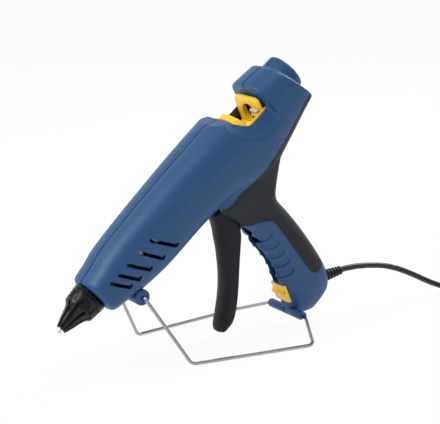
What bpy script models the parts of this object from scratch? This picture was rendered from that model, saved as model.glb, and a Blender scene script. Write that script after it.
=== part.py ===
"""Hot glue applicator on its folding wire stand, with cord and plug.

The body is modelled nose first: +X runs from the nozzle tip along the barrel to the tail,
+Z points out of the barrel's top and the casing parts along the plane Y = 0.
The whole body then tilts nose down onto the stand, which stands on the plane Z = 0.
"""
import math

import bmesh
import bpy
from mathutils import Matrix, Vector

# Pose on the stand
TILT = math.radians(41)
NOSE_HEIGHT = 0.0349

# Clearances and cuts
GAP = 0.0003
PIN_GAP = 0.00015
SEAM = 0.00015
WELD = 0.000004
OVERRUN = 0.002
REACH = 0.060

# Casing
BARREL_LENGTH = 0.300
BARREL_HALF = 0.030
AXIS_DROP = 0.003
WALL = 0.0032
GRIP_WALL = 0.0042
RUBBER = 0.0015
REAR_FACE = BARREL_LENGTH * 0.98
REAR_LEAN = math.radians(16)
SQUARENESS = 2.7
GRIP_SQUARENESS = 2.25

# Tail tube
TAIL_START = BARREL_LENGTH * 0.9
TAIL_END = BARREL_LENGTH * 1.005
TAIL_RADIUS = 0.0205
TAIL_BORE = 0.0072

# Handle
HANDLE_X = BARREL_LENGTH * 0.66
HANDLE_LENGTH = 0.186
HANDLE_DEPTH = 0.045
HANDLE_HALF = 0.0175

# Nose and heating
STICK_RADIUS = 0.006
MOUTH_RADIUS = 0.0108
NOZZLE_LENGTH = BARREL_LENGTH * 0.15566667
NOZZLE_RADIUS = 0.0078
TIP_RADIUS = 0.0028
ORIFICE_RADIUS = 0.0013
VALVE_BORE = 0.0046
BALL_RADIUS = 0.0030
SLEEVE_START = NOZZLE_LENGTH * 0.06852248
SLEEVE_END = NOZZLE_LENGTH * 0.98501071
SLEEVE_RADIUS = 0.0150
SLEEVE_NECK = 0.0104
SLEEVE_SHOULDER = NOZZLE_LENGTH * 0.82441113
HOLLOW_START = NOZZLE_LENGTH * 0.99571734
CHAMBER_RADIUS = 0.0110
CHAMBER_LENGTH = BARREL_LENGTH * 0.25333333
CHAMBER_BORE = 0.0066
CHAMBER_OUTLET = 0.0021
HEATER_SIZE = (0.034, 0.014, 0.0036)
HEATER_START = BARREL_LENGTH * 0.28
BAND_WIDTH = 0.006
BAND_WALL = 0.0010
SPIGOT_RADIUS = 0.0082
SPIGOT_LENGTH = 0.008
INLET_LENGTH = BARREL_LENGTH * 0.09333333
INLET_RADIUS = 0.0105
PLATE = 0.004

# Nozzle: outer shoulder, valve seat's mouth and throat over its length
NOZZLE_SHARES = (0.5, 0.48, 0.40)
TIP_LENGTH = SLEEVE_START * 1.3
TIP_NECK = TIP_RADIUS * 1.15

# Vents
VENT_COUNT = 5
VENT_FIRST = BARREL_LENGTH * 0.37166667
VENT_PITCH = BARREL_LENGTH * 0.04433333
VENT_SQUEEZE = 0.00085
VENT_WIDTH = 0.0036
VENT_TOP = 0.0072
VENT_DROP = 0.0220
VENT_SHRINK = 0.0016
VENT_SLOPE = 0.58

# Loading window and feed
WINDOW_FRONT = BARREL_LENGTH * 0.73833333
WINDOW_REAR = BARREL_LENGTH * 0.87333333
WINDOW_SILL = 0.0095
CARRIAGE_FRONT = BARREL_LENGTH * 0.745
CARRIAGE_REAR = BARREL_LENGTH * 0.86666667
CARRIAGE_HALF = 0.0165
CARRIAGE_BASE = 0.0175
CARRIAGE_DECK = 0.0100
LIP_LENGTH = 0.0085
LIP_GAP = 0.0019
RAIL_TOP = 0.0085
ARCH_TOP = 0.0200
ARCH_THICK = 0.0060
ARCH_LEAN = 0.0045
ROD_RADIUS = 0.0015
ROD_SPREAD = 0.0205
ROD_DROP = 0.0140
ROD_FRONT = BARREL_LENGTH * 0.635
ROD_REAR = BARREL_LENGTH * 0.89333333
FEED_STROKE = 0.0098
JAW_HEIGHT = 0.0062
JAW_FRONT_BACK = -0.0088
JAW_REAR_BACK = -0.0099
JAW_BITE_SHARE = 0.35
JAW_PIN = (BARREL_LENGTH * 0.858, -0.0084)
JAW_PIN_RADIUS = 0.0008
JAW_PIN_SEAT = 0.0020

# Trigger and link
PIVOT = (BARREL_LENGTH * 0.58666667, -0.0400)
PIVOT_RADIUS = 0.0020
PIVOT_SEAT = 0.0130
TRIGGER_LENGTH = 0.100
TRIGGER_HALF = 0.0103
ARM_LENGTH = 0.0280
ARM_HALF = 0.0035
ARM_WIDTH = 0.0095
LINK_PIN_RADIUS = 0.0015
LINK_HALF = 0.0017
LINK_HEIGHT = 0.0060
LINK_X = BARREL_LENGTH * 0.77333333
LINK_PIN_HALF = 0.0075
LINK_EYE_PLAY = 0.0008
BAY_HALF = 0.0113
SPRING_RADIUS = 0.0034
SPRING_WIRE = 0.0006
SPRING_TURNS = 5
SPRING_SEAT_HALF = 0.0150
SPRING_SHARES = (0.072, -0.10, 0.17)

# Flow slider at the handle's lower front
SLIDER_TOP = (BARREL_LENGTH * 0.57066667, -0.1405)
SLIDER_FOOT = (BARREL_LENGTH * 0.55166667, -0.1575)
SLIDER_HALF = 0.0103
SLIDER_THICK = 0.0026
SLIDER_PROUD = 0.0009
SLIDER_STEM_HALF = 0.0045
SLIDER_STEM_DEPTH = 0.0110
LEDGE_HEIGHT = 0.0024

# Stand
WIRE_RADIUS = 0.0014
BOSS_CENTRE = (BARREL_LENGTH * 0.22466667, -0.0262)
BOSS_RADIUS = 0.0070
BOSS_HALF = 0.0230
BOSS_SEAT = 0.0120
CLIP_CENTRE = (BARREL_LENGTH * 0.53733333, -0.1679)
CLIP_RADIUS = 0.0040
CLIP_HALF = 0.0255
CLIP_SINK = 0.0012
STAND_FRONT = (0.0327, 0.0460)
STAND_REAR = (0.1480, 0.0615)
WIRE_BEND = 0.0070
BOSS_BEND = 0.0024
CLIP_BEND = 0.0040
LEG_OFFSET = 0.0265
CLIP_EXIT = 0.0290
BOSS_AHEAD = 0.0007

# Screws
SCREW_BOSS = 0.0038
SCREW_RADIUS = 0.0015
SCREW_HEAD = 0.0028
SCREW_HEAD_HEIGHT = 0.0020
SCREW_LENGTH = 0.0180

# Electrics
BOARD = (0.0016, 0.026, 0.042)
BOARD_CENTRE = (BARREL_LENGTH * 0.66666667, -0.1080)
BOARD_Y = 0.0016
TERMINAL = (0.0070, 0.0110, 0.0100)
CUTOUT = (0.0110, 0.0070, 0.0050)

# Cord
CORD_RADIUS = 0.0027
RELIEF_FOOT = (BARREL_LENGTH * 0.69333333, -0.1742)
RELIEF_RISE = math.radians(8)
RELIEF_RADIUS = 0.0058
RELIEF_TIP = 0.0039
RELIEF_LENGTH = 0.0215
RELIEF_STEM = 0.0068
RELIEF_SINK = 0.0205
COIL_LOOPS = 10
COIL_LAYERS = 2
COIL_X = 0.3800
COIL_RADIUS = 0.0310
COIL_STEP = 0.0060
COIL_RISE = 0.0061
COIL_LEAD = 0.0400
TIE_THICK = 0.0009
TIE_WIDTH = 0.0090
LOOP_POINTS = 24
CORD_ROUTE = [
    (0.2400, 0.0000, 0.0437), (0.2600, 0.0000, 0.0418), (0.2817, 0.0000, 0.0372),
    (0.3030, 0.0000, 0.0286), (0.3250, 0.0000, 0.0175), (0.3440, 0.0000, 0.0085), (0.3600, 0.0000, 0.0046),
]
PLUG_LENGTH = 0.0350
PLUG_WIDTH = 0.0300
PLUG_HEIGHT = 0.0140
PLUG_NECK = 0.0045
PIN_LENGTH = 0.0190
PIN_RADIUS = 0.0020
PIN_SPACING = 0.0186

CORD_PIECES = ("power_cord", "cord_coil", "cord_tie", "plug_body", "plug_pin_left", "plug_pin_right")

SIDES = 24
CORE_SIDES = 16


def clear_scene():
    for item in list(bpy.data.objects):
        bpy.data.objects.remove(item, do_unlink=True)


def material(name, colour, roughness, metallic=0.0):
    made = bpy.data.materials.new(name)
    made.use_nodes = True
    shader = made.node_tree.nodes["Principled BSDF"]
    shader.inputs["Base Color"].default_value = (*colour, 1.0)
    shader.inputs["Roughness"].default_value = roughness
    shader.inputs["Metallic"].default_value = metallic
    return made


LOOKS = {
    "blue": ((0.016, 0.085, 0.26), 0.42, 0.0),
    "rubber": ((0.022, 0.026, 0.034), 0.62, 0.0),
    "black": ((0.012, 0.012, 0.014), 0.45, 0.0),
    "yellow": ((0.92, 0.52, 0.03), 0.38, 0.0),
    "beige": ((0.72, 0.55, 0.36), 0.5, 0.0),
    "chrome": ((0.75, 0.76, 0.78), 0.14, 1.0),
    "steel": ((0.55, 0.56, 0.58), 0.32, 1.0),
    "aluminium": ((0.68, 0.69, 0.71), 0.38, 1.0),
    "brass": ((0.78, 0.58, 0.27), 0.3, 1.0),
    "silicone": ((0.45, 0.09, 0.05), 0.6, 0.0),
    "ceramic": ((0.82, 0.80, 0.75), 0.55, 0.0),
    "board": ((0.03, 0.20, 0.09), 0.5, 0.0),
    "nylon": ((0.07, 0.07, 0.08), 0.55, 0.0),
}


def scene_object(name, mesh, look=None, parent=None):
    made = bpy.data.objects.new(name, mesh)
    bpy.context.scene.collection.objects.link(made)
    if look:
        made.data.materials.append(material(name, *LOOKS[look]))
    if parent:
        made.parent = parent
    return made


def bm_object(name, bm, look=None, parent=None):
    bmesh.ops.recalc_face_normals(bm, faces=bm.faces[:])
    mesh = bpy.data.meshes.new(name)
    bm.to_mesh(mesh)
    bm.free()
    return scene_object(name, mesh, look, parent)


def skin(name, rings, look=None, parent=None, closed=False):
    """Quads between equal rings of points, with a flat cap at each end unless closed."""
    bm = bmesh.new()
    rows = [[bm.verts.new(point) for point in ring] for ring in rings]
    count = len(rows[0])
    pairs = list(zip(rows, rows[1:]))
    if closed:
        pairs.append((rows[-1], rows[0]))
    for first, second in pairs:
        for k in range(count):
            n = (k + 1) % count
            bm.faces.new((first[k], first[n], second[n], second[k]))
    if not closed:
        bm.faces.new(rows[0])
        bm.faces.new(rows[-1])
    return bm_object(name, bm, look, parent)


def lathe(name, profile, look=None, parent=None, closed=True, sides=SIDES):
    """Profile of (x, radius) turned about the barrel's axis."""
    turns = [math.tau * k / sides for k in range(sides)]
    rings = [[(x, r * math.cos(t), r * math.sin(t)) for t in turns] for x, r in profile]
    return skin(name, rings, look, parent, closed)


def prism(name, outline, low, high, look=None, parent=None):
    """Outline of (x, z) extruded across Y."""
    rings = [[(x, y, z) for x, z in outline] for y in (low, high)]
    return skin(name, rings, look, parent)


def box(name, low, high, look=None, parent=None):
    outline = [(low[0], low[2]), (high[0], low[2]), (high[0], high[2]), (low[0], high[2])]
    return prism(name, outline, low[1], high[1], look, parent)


def cross_rod(name, centre, radius, low, high, look=None, parent=None, sides=12):
    """Cylinder along Y through the (x, z) centre."""
    outline = circle(centre, radius, sides)
    return prism(name, outline, low, high, look, parent)


def circle(centre, radius, sides=16):
    turns = [math.tau * (k + 0.5) / sides for k in range(sides)]
    return [(centre[0] + radius * math.cos(t), centre[1] + radius * math.sin(t)) for t in turns]


def sweep(name, points, radius, sides=8, look=None, parent=None):
    """Tube along the points, each ring level with the ground where the path lets it."""
    vectors = [Vector(point) for point in points]
    rings = []
    for k, point in enumerate(vectors):
        ahead = vectors[min(k + 1, len(vectors) - 1)] - point
        behind = point - vectors[max(k - 1, 0)]
        run = (ahead.normalized() + behind.normalized()).normalized()
        side = run.cross(Vector((0, 0, 1))).normalized()
        up = side.cross(run)
        turns = [math.tau * (n + 0.5) / sides for n in range(sides)]
        reach = radius / math.cos(math.pi / sides)
        rings.append([point + reach * (side * math.cos(t) + up * math.sin(t)) for t in turns])
    return skin(name, rings, look, parent)


def rounded(points, radii, steps=4):
    """The same route with each inner corner turned into an arc of its own radius."""
    route = [Vector(points[0])]
    for before, corner, after, radius in zip(points, points[1:], points[2:], radii):
        corner = Vector(corner)
        inward = (Vector(before) - corner).normalized()
        outward = (Vector(after) - corner).normalized()
        half = inward.angle(outward) / 2
        centre = corner + (inward + outward).normalized() * (radius / math.sin(half))
        start = corner + inward * (radius / math.tan(half)) - centre
        end = corner + outward * (radius / math.tan(half)) - centre
        for k in range(steps + 1):
            route.append(centre + start.slerp(end, k / steps) * radius)
    route.append(Vector(points[-1]))
    return route


def bake(item):
    """Replace the object's mesh with what its modifiers make of it."""
    graph = bpy.context.evaluated_depsgraph_get()
    graph.update()
    mesh = bpy.data.meshes.new_from_object(item.evaluated_get(graph), depsgraph=graph)
    item.modifiers.clear()
    item.data = mesh


def combine(target, tool, operation, keep=False):
    modifier = target.modifiers.new(operation, "BOOLEAN")
    modifier.operation = operation
    modifier.solver = "EXACT"
    modifier.object = tool
    bake(target)
    weld(target)
    if not keep:
        bpy.data.objects.remove(tool, do_unlink=True)
    return target


def weld(item):
    """Close up points that lie a hair apart where two surfaces crossed."""
    bm = bmesh.new()
    bm.from_mesh(item.data)
    bmesh.ops.remove_doubles(bm, verts=bm.verts[:], dist=WELD)
    bmesh.ops.dissolve_degenerate(bm, edges=bm.edges[:], dist=WELD)
    bm.to_mesh(item.data)
    bm.free()


def cut(target, tool, keep=False):
    return combine(target, tool, "DIFFERENCE", keep)


def join(target, tool, keep=False):
    return combine(target, tool, "UNION", keep)


def common(target, tool, keep=False):
    return combine(target, tool, "INTERSECT", keep)


def copy_of(item, name):
    made = bpy.data.objects.new(name, item.data.copy())
    bpy.context.scene.collection.objects.link(made)
    return made


def ring(low, middle, high, half, power, offset=0.0, count=SIDES):
    """Rounded-square section across the body: low and high lie in the parting plane."""
    low, middle, high = Vector(low), Vector(middle), Vector(high)
    low = low + (middle - low).normalized() * offset
    high = high + (middle - high).normalized() * offset
    points = []
    for k in range(count):
        c = math.cos(math.tau * k / count)
        s = math.sin(math.tau * k / count)
        end = high if c >= 0 else low
        spot = middle + (end - middle) * abs(c) ** (2 / power)
        y = math.copysign((half - offset) * abs(s) ** (2 / power), s)
        points.append((spot.x, y, spot.y))
    return points


# Along the barrel: station over the length, then top, bottom and half-width over the half-size
BARREL_SHARES = [
    (0.140, 0.38, -0.43, 0.63), (0.147, 0.48, -0.55, 0.73), (0.160, 0.56, -0.67, 0.79),
    (0.190, 0.62, -0.80, 0.83), (0.243, 0.74, -0.93, 0.87), (0.350, 0.81, -1.03, 0.92),
    (0.500, 0.86, -1.00, 0.98), (0.613, 0.87, -1.10, 1.03), (0.690, 0.87, -1.42, 1.03),
    (0.755, 0.87, -1.66, 1.01), (0.873, 0.85, -1.35, 0.97), (0.953, 0.77, -1.10, 0.92),
    (1.030, 0.70, -0.90, 0.87),
]

# Down the handle: front (x, z), back (x, z) over depth and drop, then half-width and squareness
HANDLE_SHARES = [
    (-0.50, -0.15, 1.45, -0.13, 1.30, 1.8), (-0.64, -0.20, 1.20, -0.20, 1.32, 1.8),
    (-0.56, -0.27, 0.88, -0.27, 1.17, 1.7), (-0.52, -0.325, 0.65, -0.325, 1.09, 1.4),
    (-0.50, -0.37, 0.52, -0.365, 1.04, 1.2), (-0.48, -0.42, 0.475, -0.41, 1.00, 1.0),
    (-0.46, -0.50, 0.49, -0.49, 1.00, 1.0), (-0.465, -0.58, 0.49, -0.59, 1.00, 1.0),
    (-0.50, -0.65, 0.475, -0.67, 1.00, 1.0), (-0.60, -0.73, 0.45, -0.755, 1.00, 1.0),
    (-0.70, -0.81, 0.405, -0.845, 0.98, 1.0), (-0.78, -0.862, 0.33, -0.915, 0.92, 1.0),
    (-0.875, -0.896, 0.15, -0.973, 0.80, 1.0), (-0.83, -0.922, -0.33, -0.995, 0.56, 1.0),
]
HANDLE_MIDDLE_SHARE = 0.58
CAVITY_STATIONS = 11


def station(x):
    """Top, bottom and half-width of the barrel at a distance from the nozzle tip."""
    place = x / BARREL_LENGTH
    table = BARREL_SHARES
    for before, after in zip(table, table[1:]):
        if place <= after[0] or after is table[-1]:
            share = (place - before[0]) / (after[0] - before[0])
            values = [a + (b - a) * share for a, b in zip(before[1:], after[1:])]
            return [value * BARREL_HALF for value in values]
    return None


def barrel_ring(x, offset=0.0, count=SIDES):
    top, bottom, half = station(x)
    return ring((x, bottom), (x, -AXIS_DROP), (x, top), half, SQUARENESS, offset, count)


def barrel_form(name, offset=0.0, start=None, count=SIDES):
    places = [row[0] * BARREL_LENGTH for row in BARREL_SHARES]
    if start:
        places = [start] + [x for x in places if x > start + GAP]
    places[-1] -= offset
    return skin(name, [barrel_ring(x, offset, count) for x in places])


def handle_form(name, offset=0.0, stations=None, count=SIDES):
    rings = []
    rows = HANDLE_SHARES[:stations]
    for front_x, front_z, back_x, back_z, half, square in rows:
        front = Vector((HANDLE_X + front_x * HANDLE_DEPTH, front_z * HANDLE_LENGTH))
        back = Vector((HANDLE_X + back_x * HANDLE_DEPTH, back_z * HANDLE_LENGTH))
        middle = front.lerp(back, HANDLE_MIDDLE_SHARE)
        power = GRIP_SQUARENESS * square
        rings.append(ring(front, middle, back, half * HANDLE_HALF, power, offset, count))
    return skin(name, rings)


def rear_slab(offset=0.0):
    """Everything behind the leaning rear face."""
    lean = math.tan(REAR_LEAN) * REACH
    face = REAR_FACE - offset
    outline = [(face - lean, REACH), (face + REACH, REACH), (face + REACH, -REACH), (face + lean, -REACH)]
    return prism("rear slab", outline, -REACH, REACH)


def tail_form(name, offset=0.0):
    """Short tube that the stick goes in by, square to the barrel's axis."""
    radius = TAIL_RADIUS - offset
    return lathe(name, [(TAIL_START, radius), (TAIL_END - offset, radius)], closed=False)


def envelope(name, offset=0.0):
    """Outer shape of barrel, handle and tail tube, drawn in by an offset."""
    form = barrel_form(name, offset)
    join(form, handle_form("grip", offset))
    cut(form, rear_slab(offset))
    join(form, tail_form("tail", offset))
    return form


# Side outline of the rubber, over the barrel's length and the handle's drop
RUBBER_SHARES = [
    (1.080, -0.080), (1.000, -0.085), (0.900, -0.128), (0.820, -0.158), (0.753, -0.174),
    (0.697, -0.180), (0.650, -0.172), (0.612, -0.178), (0.583, -0.187), (0.565, -0.184),
    (0.548, -0.168), (0.520, -0.180), (0.520, -0.250), (0.560, -0.325), (0.579, -0.325),
    (0.602, -0.361), (0.630, -0.387), (0.654, -0.417), (0.662, -0.448), (0.660, -0.554),
    (0.656, -0.667), (0.652, -0.752), (0.653, -0.794), (0.665, -0.827), (0.682, -0.840),
    (0.760, -0.860), (0.900, -0.860), (0.900, -0.500), (1.080, -0.300),
]


def rubber_region(name, spread=0.0):
    outline = [(x * BARREL_LENGTH, z * HANDLE_LENGTH) for x, z in RUBBER_SHARES]
    region = prism(name, outline, -REACH, REACH)
    if spread:
        grown = region.modifiers.new("grow", "DISPLACE")
        grown.strength = spread
        grown.mid_level = 0.0
        bake(region)
    return region


def slab(name, low, high):
    return box(name, (-REACH, low, -HANDLE_LENGTH - REACH), (BARREL_LENGTH + REACH, high, REACH))


# Screw places through the casing: x over the barrel's length, z over the handle's drop
SCREW_SHARES = [
    (0.300, -0.120), (0.507, 0.087), (0.690, -0.205), (0.925, 0.045), (0.915, -0.120),
    (0.700, -0.500), (0.650, -0.835),
]


def screw_places():
    return [(x * BARREL_LENGTH, z * HANDLE_LENGTH) for x, z in SCREW_SHARES]


def pocket_outline():
    """Where the trigger swings, with room at its rear for the full squeeze."""
    shares = [
        (-0.273, 0.20), (-0.273, -0.02), (-0.433, -0.30), (-0.433, -0.50), (0.067, -0.50),
        (0.042, -0.42), (0.085, -0.30), (0.115, -0.18), (0.122, 0.02), (0.097, 0.20),
    ]
    return [(PIVOT[0] + x * TRIGGER_LENGTH, PIVOT[1] + z * TRIGGER_LENGTH) for x, z in shares]


def window_outline():
    """Saddle cut out of the top for loading, seen from the side."""
    span = WINDOW_REAR - WINDOW_FRONT
    shares = [(0.00, 2.3), (0.06, 1.75), (0.18, 1.25), (0.34, 1.0), (0.72, 1.0), (0.90, 1.25), (1.0, 1.9)]
    outline = [(WINDOW_FRONT, REACH)]
    outline += [(WINDOW_FRONT + x * span, z * WINDOW_SILL) for x, z in shares]
    outline.append((WINDOW_REAR, REACH))
    return outline


def vent_outline(k):
    """Leaning slot, shorter and closer to its neighbour towards the nose."""
    drop = VENT_DROP - k * VENT_SHRINK
    x = VENT_FIRST - sum(VENT_PITCH - VENT_SQUEEZE * n for n in range(k))
    half = VENT_WIDTH / 2
    top = (x - VENT_SLOPE * drop / 2, VENT_TOP)
    foot = (x + VENT_SLOPE * drop / 2, VENT_TOP - drop)
    return [(top[0] - half, top[1] - half), (top[0] + half, top[1]),
            (foot[0] + half, foot[1] + half), (foot[0] - half, foot[1])]


def wire_groove():
    """Channel under the handle's toe, open towards the ground."""
    down = Vector((-math.sin(TILT), -math.cos(TILT)))
    side = Vector((down.y, -down.x))
    centre = Vector(CLIP_CENTRE)
    radius = WIRE_RADIUS + GAP
    turns = [math.pi * k / 8 for k in range(9)]
    arc = [centre - side * radius * math.cos(t) - down * radius * math.sin(t) for t in turns]
    deep = down * (CLIP_RADIUS * 3)
    outline = [tuple(p) for p in [arc[0] + deep] + arc + [arc[-1] + deep]]
    return prism("groove", outline, -REACH, REACH)


def slider_axes():
    top, foot = Vector(SLIDER_TOP), Vector(SLIDER_FOOT)
    down = (foot - top).normalized()
    out = Vector((down.y, -down.x))
    return top, foot, down, out


def slider_pocket():
    top, foot, down, out = slider_axes()
    low = foot + down * GAP
    high = top - down * GAP
    seat = SLIDER_THICK - SLIDER_PROUD + GAP
    face = [high + out * REACH, high - out * seat, low - out * seat, low + out * REACH]
    pocket = prism("slider pocket", [tuple(p) for p in face], -SLIDER_HALF - GAP, SLIDER_HALF + GAP)
    middle = (top + foot) / 2
    half = SLIDER_STEM_HALF + GAP
    stem = [middle - down * half + out * seat, middle + down * half + out * seat]
    stem += [p - out * (SLIDER_STEM_DEPTH + seat * 2) for p in reversed(stem)]
    join(pocket, prism("stem", [tuple(p) for p in stem], -half, half))
    return pocket


def relief_axis():
    """Foot of the strain relief and its direction, both in the body's frame."""
    turn = RELIEF_RISE - TILT
    return Vector((RELIEF_FOOT[0], 0, RELIEF_FOOT[1])), Vector((math.cos(turn), 0, math.sin(turn)))


def along(item, foot, run):
    """Turn a piece made along +X so that it starts at the foot and follows the run."""
    angle = math.atan2(run.z, run.x)
    item.data.transform(Matrix.Translation(foot) @ Matrix.Rotation(-angle, 4, "Y"))
    return item


def casing():
    shell = envelope("shell")
    skin_tool = rubber_region("skin", GAP)
    cut(skin_tool, envelope("core", RUBBER + GAP))
    cut(shell, skin_tool)
    join(shell, cross_rod("boss", BOSS_CENTRE, BOSS_RADIUS, -BOSS_HALF, BOSS_HALF, sides=16))
    clip_centre = Vector(CLIP_CENTRE) + Vector((math.sin(TILT), math.cos(TILT))) * CLIP_SINK
    join(shell, cross_rod("clip", clip_centre, CLIP_RADIUS, -CLIP_HALF, CLIP_HALF))
    hollow = barrel_form("hollow", WALL, HOLLOW_START, CORE_SIDES)
    join(hollow, handle_form("grip hollow", GRIP_WALL, CAVITY_STATIONS, CORE_SIDES))
    cut(hollow, rear_slab(WALL))
    boss_guard = cross_rod("guard", BOSS_CENTRE, BOSS_RADIUS, -REACH, REACH, sides=16)
    cut(hollow, boss_guard)
    for place in screw_places():
        cut(hollow, cross_rod("post", place, SCREW_BOSS, -REACH, REACH))
    cut(hollow, cross_rod("post", PIVOT, PIVOT_RADIUS + SCREW_BOSS / 2, -REACH, REACH))
    cut(shell, slab("far side", -REACH, SEAM))
    cut(shell, hollow)
    return shell


def cut_openings(shell):
    mouth = [(SLEEVE_START, MOUTH_RADIUS), (HOLLOW_START + OVERRUN, MOUTH_RADIUS)]
    cut(shell, lathe("mouth", mouth, closed=False))
    bore = [(TAIL_START - WALL * 4, TAIL_BORE), (TAIL_END + REACH, TAIL_BORE)]
    cut(shell, lathe("bore", bore, closed=False))
    cut(shell, prism("window", window_outline(), -REACH, REACH))
    cut(shell, prism("bay", pocket_outline(), -BAY_HALF, BAY_HALF))
    for k in range(VENT_COUNT):
        cut(shell, prism("vent", vent_outline(k), -REACH, REACH))
    cut(shell, wire_groove())
    cut(shell, slider_pocket())
    cut(shell, cross_rod("pin hole", PIVOT, PIVOT_RADIUS + PIN_GAP, -PIVOT_SEAT, PIVOT_SEAT))
    for side in (-1, 1):
        ends = sorted((side * (BOSS_HALF + OVERRUN), side * (BOSS_SEAT - GAP)))
        cut(shell, cross_rod("wire hole", BOSS_CENTRE, WIRE_RADIUS + GAP, *ends))
    foot, run = relief_axis()
    stem = RELIEF_STEM + GAP
    hole = lathe("gland", [(-GRIP_WALL * 3, stem), (REACH, stem)], closed=False)
    cut(shell, along(hole, foot, run))
    return shell


def halves(form, look, gun, left, right):
    """The half on the +Y side of the parting plane and its mirror image."""
    made = [copy_of(form, left), copy_of(form, right)]
    made[0].data.transform(Matrix.Scale(-1, 4, (0, 1, 0)))
    made[0].data.flip_normals()
    for half in made:
        half.data.materials.clear()
        half.data.materials.append(material(half.name, *LOOKS[look]))
        half.parent = gun
    bpy.data.objects.remove(form, do_unlink=True)
    return made


def split_casing(shell, gun):
    near, far = halves(shell, "blue", gun, "housing_left", "housing_right")
    seat = SCREW_LENGTH / 2 - GAP
    for place in screw_places():
        cut(near, cross_rod("pilot", place, SCREW_RADIUS + PIN_GAP, -SCREW_LENGTH / 2, OVERRUN))
        cut(far, cross_rod("through", place, SCREW_RADIUS + GAP, -OVERRUN, REACH))
        cut(far, cross_rod("head", place, SCREW_HEAD + GAP, seat, REACH))


def grip_rubbers(gun):
    form = envelope("rubber")
    common(form, rubber_region("region"))
    cut(form, envelope("rubber core", RUBBER))
    cut(form, slab("far side", -REACH, SEAM))
    cut(form, prism("bay", pocket_outline(), -BAY_HALF - GAP, BAY_HALF + GAP))
    radius = TAIL_RADIUS + GAP
    cut(form, lathe("tail", [(TAIL_START, radius), (TAIL_END + REACH, radius)], closed=False))
    far = halves(form, "rubber", gun, "grip_rubber_left", "grip_rubber_right")[1]
    for place in screw_places():
        cut(far, cross_rod("access", place, SCREW_HEAD + GAP, SCREW_LENGTH / 2, REACH))


def casing_screws(gun):
    for k, place in enumerate(screw_places(), 1):
        name = f"housing_screw_{k}"
        seat = SCREW_LENGTH / 2
        shank = cross_rod(name, place, SCREW_RADIUS, -seat + GAP, seat + GAP, "steel", gun)
        join(shank, cross_rod("head", place, SCREW_HEAD, seat, seat + SCREW_HEAD_HEIGHT))


def nozzle_parts(gun):
    shoulder, mouth, throat = [share * NOZZLE_LENGTH for share in NOZZLE_SHARES]
    nose = [(0, ORIFICE_RADIUS), (0, TIP_RADIUS), (TIP_LENGTH, TIP_NECK), (shoulder, NOZZLE_RADIUS),
            (NOZZLE_LENGTH, NOZZLE_RADIUS), (NOZZLE_LENGTH, VALVE_BORE), (mouth, VALVE_BORE),
            (throat, ORIFICE_RADIUS)]
    lathe("nozzle", nose, "brass", gun)
    run, drop = mouth - throat, VALVE_BORE - ORIFICE_RADIUS
    reach = (BALL_RADIUS + PIN_GAP) * math.hypot(run, drop) - VALVE_BORE * run
    seat = mouth + reach / drop
    bm = bmesh.new()
    bmesh.ops.create_uvsphere(bm, u_segments=12, v_segments=8, radius=BALL_RADIUS)
    bmesh.ops.translate(bm, verts=bm.verts[:], vec=(seat, 0, 0))
    bm_object("valve_ball", bm, "steel", gun)
    start = seat + BALL_RADIUS - GAP * 2
    spring("valve_spring", (start, 0, 0), (1, 0, 0), NOZZLE_LENGTH - start, BALL_RADIUS * 0.8, gun)


def spring(name, start, run, length, radius, parent):
    """Round wire wound about the run, as one unbroken tube."""
    run = Vector(run).normalized()
    side = run.orthogonal().normalized()
    up = run.cross(side)
    steps = SPRING_TURNS * 8
    points = []
    for k in range(steps + 1):
        turn = math.tau * SPRING_TURNS * k / steps
        rise = SPRING_WIRE + (length - SPRING_WIRE * 2) * k / steps
        points.append(Vector(start) + run * rise + (side * math.cos(turn) + up * math.sin(turn)) * radius)
    curve = bpy.data.curves.new(name, "CURVE")
    curve.dimensions = "3D"
    line = curve.splines.new("POLY")
    line.points.add(len(points) - 1)
    for slot, point in zip(line.points, points):
        slot.co = (*point, 1)
    curve.bevel_depth = SPRING_WIRE
    curve.bevel_resolution = 1
    curve.use_fill_caps = True
    return scene_object(name, curve, "steel", parent)


# Outline of the heat guard: place along the sleeve and radius, both as shares
SLEEVE_SHARES = [
    (0.00, 0.29), (0.11, 0.39), (0.23, 0.51), (0.34, 0.63), (0.40, 0.73), (0.445, 0.90),
    (0.56, 0.97), (0.68, 1.01), (0.78, 1.03), (0.97, 0.99), (1.00, 0.93),
]


def nozzle_sleeve(gun):
    span = SLEEVE_SHOULDER - SLEEVE_START
    outer = [(SLEEVE_START + x * span, r * SLEEVE_RADIUS) for x, r in SLEEVE_SHARES]
    outer += [(SLEEVE_SHOULDER, SLEEVE_NECK), (SLEEVE_END, SLEEVE_NECK)]
    shoulder = NOZZLE_LENGTH * NOZZLE_SHARES[0]
    inner = [(SLEEVE_END, NOZZLE_RADIUS + GAP), (shoulder - GAP, NOZZLE_RADIUS + GAP),
             (SLEEVE_START, TIP_NECK + GAP)]
    lathe("nozzle_sleeve", outer + inner, "black", gun, sides=20)


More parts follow.
